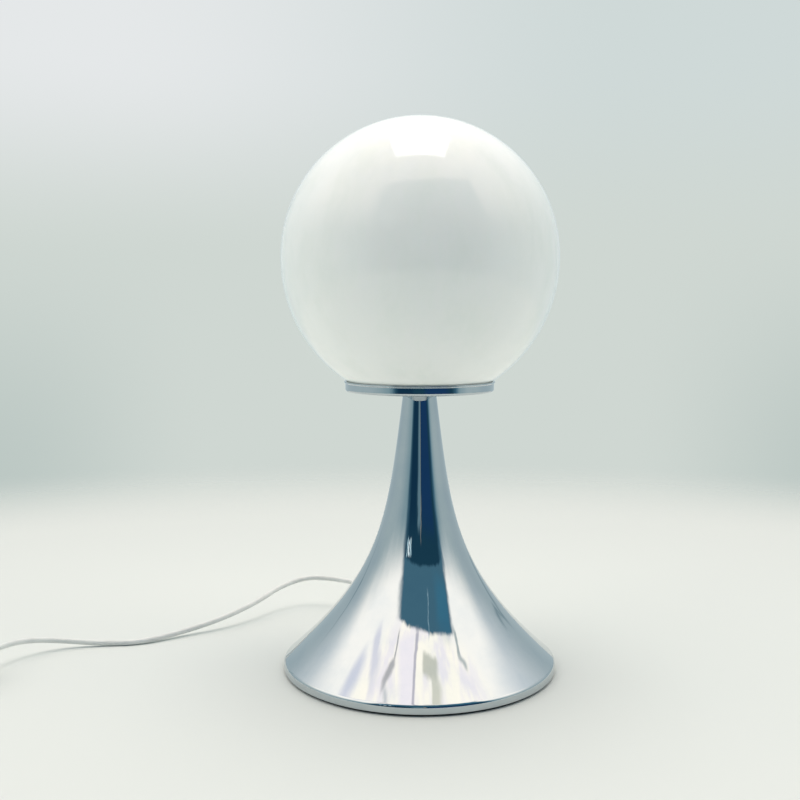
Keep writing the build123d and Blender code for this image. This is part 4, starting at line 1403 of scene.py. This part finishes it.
@dataclass
class Plug:
    """The flat two-pin plug, moulded onto the flex with a ringed strain relief."""

    place: Place = Place((-471.8, -22.0, 6.85), 90.0)
    boot: float = 18.0
    rear: float = 15.0
    front: float = 20.0
    half_width: float = 17.65
    flat: float = 13.05
    half_thickness: float = 6.85
    boot_radius: float = 5.2
    tip_radius: float = 3.7
    softness: int = 18
    blend: int = 12
    front_round: float = 2.0
    rings: int = 6
    ring_depth: float = 0.4
    grip_depth: float = 0.45
    grip_pitch: float = 2.2
    grip_start: float = 16.0
    grip_end: float = 5.0
    sides: int = 144

    def body(self) -> bpy.types.Object:
        """Build the moulded body on a closed grid along its length.

        The section is a six-sided one with soft corners: 1 / r^p is the sum of (the direction's share
        of each side's normal over that side's distance)^p. It grows from the strain relief, is blended
        with the relief's circle by the same kind of sum, and rounds off before the pin face.
        """
        length = self.boot + self.rear + self.front
        shoulder = length - self.front_round
        rounding = self.front_round * np.sin(np.linspace(0.1, 1, 12) * math.pi / 2)
        along = np.concatenate([np.linspace(0, shoulder, 213), shoulder + rounding])[:, None]
        angle = np.arange(self.sides)[None] * TURN / self.sides
        slant = np.array([self.half_thickness, self.half_width - self.flat])
        slant /= np.linalg.norm(slant)
        p = self.softness
        sides = (np.abs(np.sin(angle)) / self.half_thickness) ** p
        for hand in (-1, 1):
            facing = np.abs(slant[0] * np.cos(angle) + hand * slant[1] * np.sin(angle))
            sides = sides + (facing / (slant[0] * self.half_width)) ** p
        share = np.clip((along - self.boot + 1) / (self.rear + 1), 0, 1)
        size = 0.25 + 0.75 * share**0.8
        edge = np.clip((along - shoulder) / self.front_round, 0, 1)
        size = size - 0.1 * (1 - np.sqrt(1 - 0.999 * edge**2))
        hexagon = size * sides ** (-1 / p) * window(along, self.boot - 3.0, length + 9, 3.0)
        cone = self.tip_radius + (self.boot_radius - self.tip_radius) * along / self.boot
        ring = (self.boot - 3.7) / self.rings
        ringed = self.ring_depth * window(along, 1.2, self.boot - 2.5, 0.8) * waves(along - 1.2, ring)
        circle = (cone - ringed) * (1 - 0.3 * np.clip((along - self.boot) / 6, 0, 1)) + 0 * angle
        reach = (hexagon**self.blend + circle**self.blend) ** (1 / self.blend)
        on_flat = window(reach * np.cos(angle), -self.flat + 1, self.flat - 1, 2.5)
        grip = length - self.grip_start
        band = window(along, grip, length - self.grip_end, 1.2) * waves(along - grip, self.grip_pitch)
        reach = reach - self.grip_depth * band * on_flat
        y, z = reach * np.cos(angle), reach * np.sin(angle)
        points = np.stack([along + 0 * angle, y, z], -1).reshape(-1, 3)
        faces = closed_grid_faces(len(along), self.sides, False, True).tolist()
        faces.append(list(range(self.sides))[::-1])
        faces.append(list(range(len(points) - self.sides, len(points))))
        return add_mesh("plug_moulding", self.place.put(points), faces, 35)

    def build(self, frame: dict) -> None:
        """Build the body and paint the pins."""
        dress(self.body(), Finish.ABS, "root", "white_moulding", "plug_body")
        paint(frame, Finish.NICKEL, "plug_pins")
        paint(frame, Finish.SLEEVES, "plug_pin_sleeves")


# ---------------------------------------------------------------- room


def lit(hex_colour: str) -> Colour:
    """Light that polished chrome shows as this colour: its linear value over chrome's own.

    Args:
        hex_colour: the sRGB colour as the chrome shows it.

    Returns:
        Linear light, which may be above 1.
    """
    chrome = linear(Finish.CHROME.value.colour)
    light = [a / b for a, b in zip(linear(hex_colour)[:3], chrome)]
    return (light[0], light[1], light[2], 1.0)


@dataclass(frozen=True)
class RoomPatch:
    """Soft-edged panel or opening of the room, between two azimuths and two elevations in degrees.

    A bow drops its edges by that much for each squared degree from its middle, and a lean slants it by
    that many degrees of azimuth for each degree of elevation.
    """

    colour: str
    sides: tuple[float, float]
    heights: tuple[float, float]
    soft_left: float = 1.0
    soft_right: float = 1.0
    soft_height: float = 1.0
    bow: float = 0.0
    lean: float = 0.0
    strength: float = 1.0

    def mask(
        self, tree: Tree, side: Socket, rise: Socket
    ) -> Socket:
        """Share of the patch in each direction: the product of four smooth steps.

        Args:
            tree: the world's node tree.
            side: the azimuth's socket.
            rise: the elevation's socket.

        Returns:
            The share's socket.
        """
        (left, right), (low, high) = self.sides, self.heights
        if self.bow:
            apart = add_node(tree, "Math", side, (left + right) / 2, operation="SUBTRACT")
            squared = add_node(tree, "Math", apart, apart, operation="MULTIPLY")
            rise = add_node(tree, "Math", squared, self.bow, rise, operation="MULTIPLY_ADD")
        if self.lean:
            above = add_node(tree, "Math", rise, (low + high) / 2, operation="SUBTRACT")
            side = add_node(tree, "Math", above, -self.lean, side, operation="MULTIPLY_ADD")
        share = self.strength
        for value, edge, soft, before in (
            (side, left, self.soft_left, 0),
            (side, right, self.soft_right, 1),
            (rise, low, self.soft_height, 0),
            (rise, high, self.soft_height, 1),
        ):
            span = (edge - soft, edge + soft, before, 1 - before)
            step = add_node(tree, "MapRange", value, *span, **SMOOTH)
            share = add_node(tree, "Math", step, share, operation="MULTIPLY")
        return share


@dataclass
class Studio:
    """Camera, pale floor, soft light from above and a pale room with a dark opening at the front."""

    camera_place: Vec3 = (0.0, -0.9156, 0.3271)
    pitch: float = -4.95
    yaw: float = 1.12
    lens: float = 45.23
    floor_radius: float = 3.2
    floor_centre: Vec3 = (0.0, -0.55, 0.0)
    fade_start: float = 1.22
    fade_end: float = 1.85
    floor_colour: str = "#D9DEDB"
    far_floor_colour: str = "#D2D7D4"
    floor_sides: int = 96
    softbox_place: Vec3 = (0.0, 0.15, 1.9)
    softbox_colour: Vec3 = (1.0, 0.985, 0.95)
    softbox_size: float = 0.75
    softbox_watts: float = 6.6
    sway: float = 11.0
    sag: float = 4.5
    folds: float = 5.5
    room: tuple[RoomPatch, ...] = (
        # flank, the lit wall and the dark opening under it
        RoomPatch("#6E8A93", (-60, 68), (-90, 24), 26, 12, 14),
        RoomPatch("#3D6376", (-41, 60), (-90, 61), 7, 4, 0.9, bow=0.0025),
        RoomPatch("#2F6F8C", (36, 56), (38, 57), 9, 3, 6, strength=0.5),
        RoomPatch("#17384A", (-38, 54), (-90, 35.6), 8, 5, 1.0, bow=0.003),
        RoomPatch("#0B2740", (-34, -10), (-90, 20), 4, 3, 7, strength=0.6),
        RoomPatch("#14325A", (8, 44), (-90, 20), 4, 6, 7, strength=0.75),
        # things that stand in it
        RoomPatch("#5B7884", (-6, 3), (3, 21), 2, 1, 3),
        RoomPatch("#8B8C84", (3.5, 5.0), (6, 25), 0.8, 0.8, 3),
        RoomPatch("#A9CBD6", (-33, -31), (23, 30), 0.6, 0.6, 0.8),
        RoomPatch("#E4F6FA", (-29, -26.5), (24, 30.5), 0.6, 0.6, 0.8),
        RoomPatch("#C4E0E8", (-24.5, -22.5), (23.5, 31), 0.6, 0.6, 0.8),
        RoomPatch("#88ACBA", (-21, -19.8), (26, 31), 0.6, 0.6, 0.8),
        RoomPatch("#7C9AA7", (16.2, 17.6), (46, 62), 0.6, 0.6, 2),
        # folds of the cloth roof
        RoomPatch("#F1EDF2", (-38, -9), (61, 85), 6, 4, 2),
        RoomPatch("#B9B8C2", (-13, -7.5), (60.5, 84), 1.5, 1.5, 1.5, lean=-0.6),
        RoomPatch("#C6C8BC", (7, 36), (66.5, 71.5), 3, 4, 0.8),
        RoomPatch("#D0D1C4", (26, 42), (70.5, 79), 2, 5, 1.5),
        RoomPatch("#ABADB0", (-43, -40), (58.5, 66), 1.2, 1.2, 1.5, lean=-0.9),
        RoomPatch("#AFB0B3", (-62, -45), (65, 67.2), 3, 3, 0.7),
        RoomPatch("#C9CCCF", (-58, -54), (67, 74), 2, 2, 2, lean=0.8),
        RoomPatch("#A9B3B3", (62, 66), (52.5, 58.5), 1, 1, 1.5, lean=0.6),
        RoomPatch("#B4BCBC", (65, 75), (57.2, 59), 2, 2, 0.7),
        RoomPatch("#D0D4E0", (-99, -84), (50, 56), 5, 4, 2.5),
        RoomPatch("#D6D8E2", (-76, -66), (50, 62), 3, 3, 3),
        # seams of the side walls
        RoomPatch("#71868E", (-133, -131), (2, 17), 1.2, 1.2, 3),
        RoomPatch("#71868E", (-158, -156), (2, 24), 1.2, 1.2, 3, lean=1.0),
        RoomPatch("#71868E", (143, 145), (-4, 18), 1.2, 1.2, 3, lean=-1.0),
    )

    def camera(self) -> None:
        """Stand the camera where the photograph was taken from."""
        data = bpy.data.cameras.new("camera")
        data.lens = self.lens
        data.clip_start, data.clip_end = 0.01, 100
        piece = bpy.data.objects.new("camera", data)
        piece.location = self.camera_place
        piece.rotation_euler = (math.radians(90 + self.pitch), 0, math.radians(self.yaw))
        bpy.context.scene.collection.objects.link(piece)
        bpy.context.scene.camera = piece

    def floor(self) -> None:
        """Lay a round pale floor that turns clear with distance, so that no horizon shows."""
        angle = np.arange(self.floor_sides) * TURN / self.floor_sides
        rim = self.floor_radius / MM
        points = np.stack([rim * np.cos(angle), rim * np.sin(angle), np.zeros_like(angle)], 1)
        piece = add_mesh("studio_floor", points, [list(range(self.floor_sides))])
        material, tree, shader = new_material("matt_paper_sweep")
        place = add_node(tree, "TexCoord", out="Object")
        away = add_node(tree, "VectorMath", place, self.floor_centre, operation="DISTANCE", out="Value")
        span = (self.fade_start, self.fade_end)
        faded = add_node(tree, "MapRange", away, *span, **SMOOTH)
        clear = add_node(tree, "BsdfTransparent")
        depth = add_node(tree, "SeparateXYZ", place, out="Y")
        surface(tree, shader, tones=(depth, (-0.2, 0.8), self.floor_colour, self.far_floor_colour))
        shader.inputs["Roughness"].default_value = 0.9
        shader.inputs["Specular IOR Level"].default_value = 0.15
        mixed = add_node(tree, "MixShader", faded, shader.outputs[0], clear)
        tree.links.new(mixed, tree.nodes["Material Output"].inputs["Surface"])
        piece.data.materials.append(material)

    def softbox(self) -> None:
        """Hang one square soft light over the lamp."""
        data = bpy.data.lights.new("softbox", "AREA")
        data.shape = "SQUARE"
        data.size = self.softbox_size
        data.energy = self.softbox_watts
        data.color = self.softbox_colour
        piece = bpy.data.objects.new("softbox", data)
        piece.location = self.softbox_place
        piece.visible_camera = False
        bpy.context.scene.collection.objects.link(piece)

    def painted(self, tree: Tree, direction: Socket) -> Socket:
        """Colour of the room that lights the lamp: pale walls, a cream roof and the patches.

        Azimuth is counted from the front, to the right, and elevation from level, both in degrees. The
        same soft noise pushes both about a little, so that every edge looks like that of hung cloth.

        Args:
            tree: the world's node tree.
            direction: the direction that is looked at.

        Returns:
            The colour's socket.
        """
        parts = add_node(tree, "SeparateXYZ", direction).node.outputs
        front = add_node(tree, "Math", parts[1], -1.0, operation="MULTIPLY")
        turned = add_node(tree, "Math", parts[0], front, operation="ARCTAN2")
        raised = add_node(tree, "Math", parts[2], operation="ARCSINE")
        side = add_node(tree, "Math", turned, 360 / TURN, operation="MULTIPLY")
        rise = add_node(tree, "Math", raised, 360 / TURN, operation="MULTIPLY")
        shifted = add_node(tree, "Math", side, 4.0, operation="ADD")
        wide = add_node(tree, "Math", shifted, operation="ABSOLUTE")

        cloth = {"Scale": self.folds, "Detail": 3.0, "Roughness": 0.6}
        wave = add_node(tree, "TexNoise", Vector=direction, out="Color", **cloth)
        push = add_node(tree, "SeparateColor", wave).node.outputs
        aside = add_node(tree, "Math", push[0], self.sway, -self.sway / 2, operation="MULTIPLY_ADD")
        up = add_node(tree, "Math", push[1], self.sag, -self.sag / 2, operation="MULTIPLY_ADD")
        side = add_node(tree, "Math", side, aside, operation="ADD")
        rise = add_node(tree, "Math", rise, up, operation="ADD")

        # walls that grow brighter upwards, weaker at the back, under the roof
        walls = graded(tree, rise, (12, 40), lit("#94A5A9"), lit("#F6F6F1"))
        behind = graded(tree, rise, (10, 46), lit("#90A1A7"), lit("#CAD2D6"))
        room = graded(tree, wide, (96, 122), walls, behind)
        roof = graded(tree, push[2], (0.42, 0.62), lit("#FFFCEF"), lit("#EEEBEF"))
        room = graded(tree, rise, (50, 62), room, roof)
        for patch in self.room:
            share = patch.mask(tree, side, rise)
            room = add_node(tree, "Mix", share, A_Color=room, B_Color=lit(patch.colour), **BLEND)
        return room

    def backdrop(self, tree: Tree, direction: Socket) -> Socket:
        """Colour that the camera sees behind the lamp: brightest at the upper left, duller at both sides.

        Args:
            tree: the world's node tree.
            direction: the direction that is looked at.

        Returns:
            The colour's socket.
        """
        parts = add_node(tree, "SeparateXYZ", direction).node.outputs
        upper = graded(tree, parts[0], (-0.3, 0.2), linear("#E5E8E9"), linear("#CFD9D8"))
        level = graded(tree, parts[2], (0.05, 0.24), linear("#CFD7D2"), upper)
        apart = add_node(tree, "Math", parts[0], operation="ABSOLUTE")
        outer = add_node(tree, "MapRange", apart, 0.2, 0.4, **SMOOTH)
        lower = add_node(tree, "MapRange", parts[2], -0.16, 0.1, 0.9, 0.0, **SMOOTH)
        edge = add_node(tree, "Math", outer, lower, operation="MULTIPLY")
        return add_node(tree, "Mix", edge, A_Color=level, B_Color=linear("#BAC6C2"), **BLEND)

    def world(self) -> None:
        """Light the lamp from the painted room, and show the camera the plain backdrop."""
        world = bpy.data.worlds.new("studio_room")
        world.use_nodes = True
        bpy.context.scene.world = world
        tree = world.node_tree
        direction = add_node(tree, "TexCoord", out="Generated")
        room, backdrop = self.painted(tree, direction), self.backdrop(tree, direction)
        seen = add_node(tree, "LightPath", out="Is Camera Ray")
        shown = add_node(tree, "Mix", seen, A_Color=room, B_Color=backdrop, **BLEND)
        background = tree.nodes["Background"]
        tree.links.new(shown, background.inputs["Color"])
        background.inputs["Strength"].default_value = 1.0

    def build(self) -> None:
        """Build the whole studio."""
        self.camera()
        self.floor()
        self.softbox()
        self.world()
        bpy.context.scene.view_settings.view_transform = "Standard"
        LOG.info("studio built")


# ---------------------------------------------------------------- whole lamp


def main(frame: dict) -> None:
    """Build the studio and every sub-assembly, in order.
    """
    logging.basicConfig(level=logging.INFO, format="%(message)s")
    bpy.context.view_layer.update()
    Studio().build()
    Switch().build(frame)
    Plug().build(frame)
    Flex().build(frame)
    base = TrumpetBase()
    base.build(frame)
    Boot(base).build()
    Gallery().build(frame)
    Globe().build()
    LampHolder().build(frame)
    Bulb().build(frame)


if __name__ == "__main__":
    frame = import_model()
    main(frame)
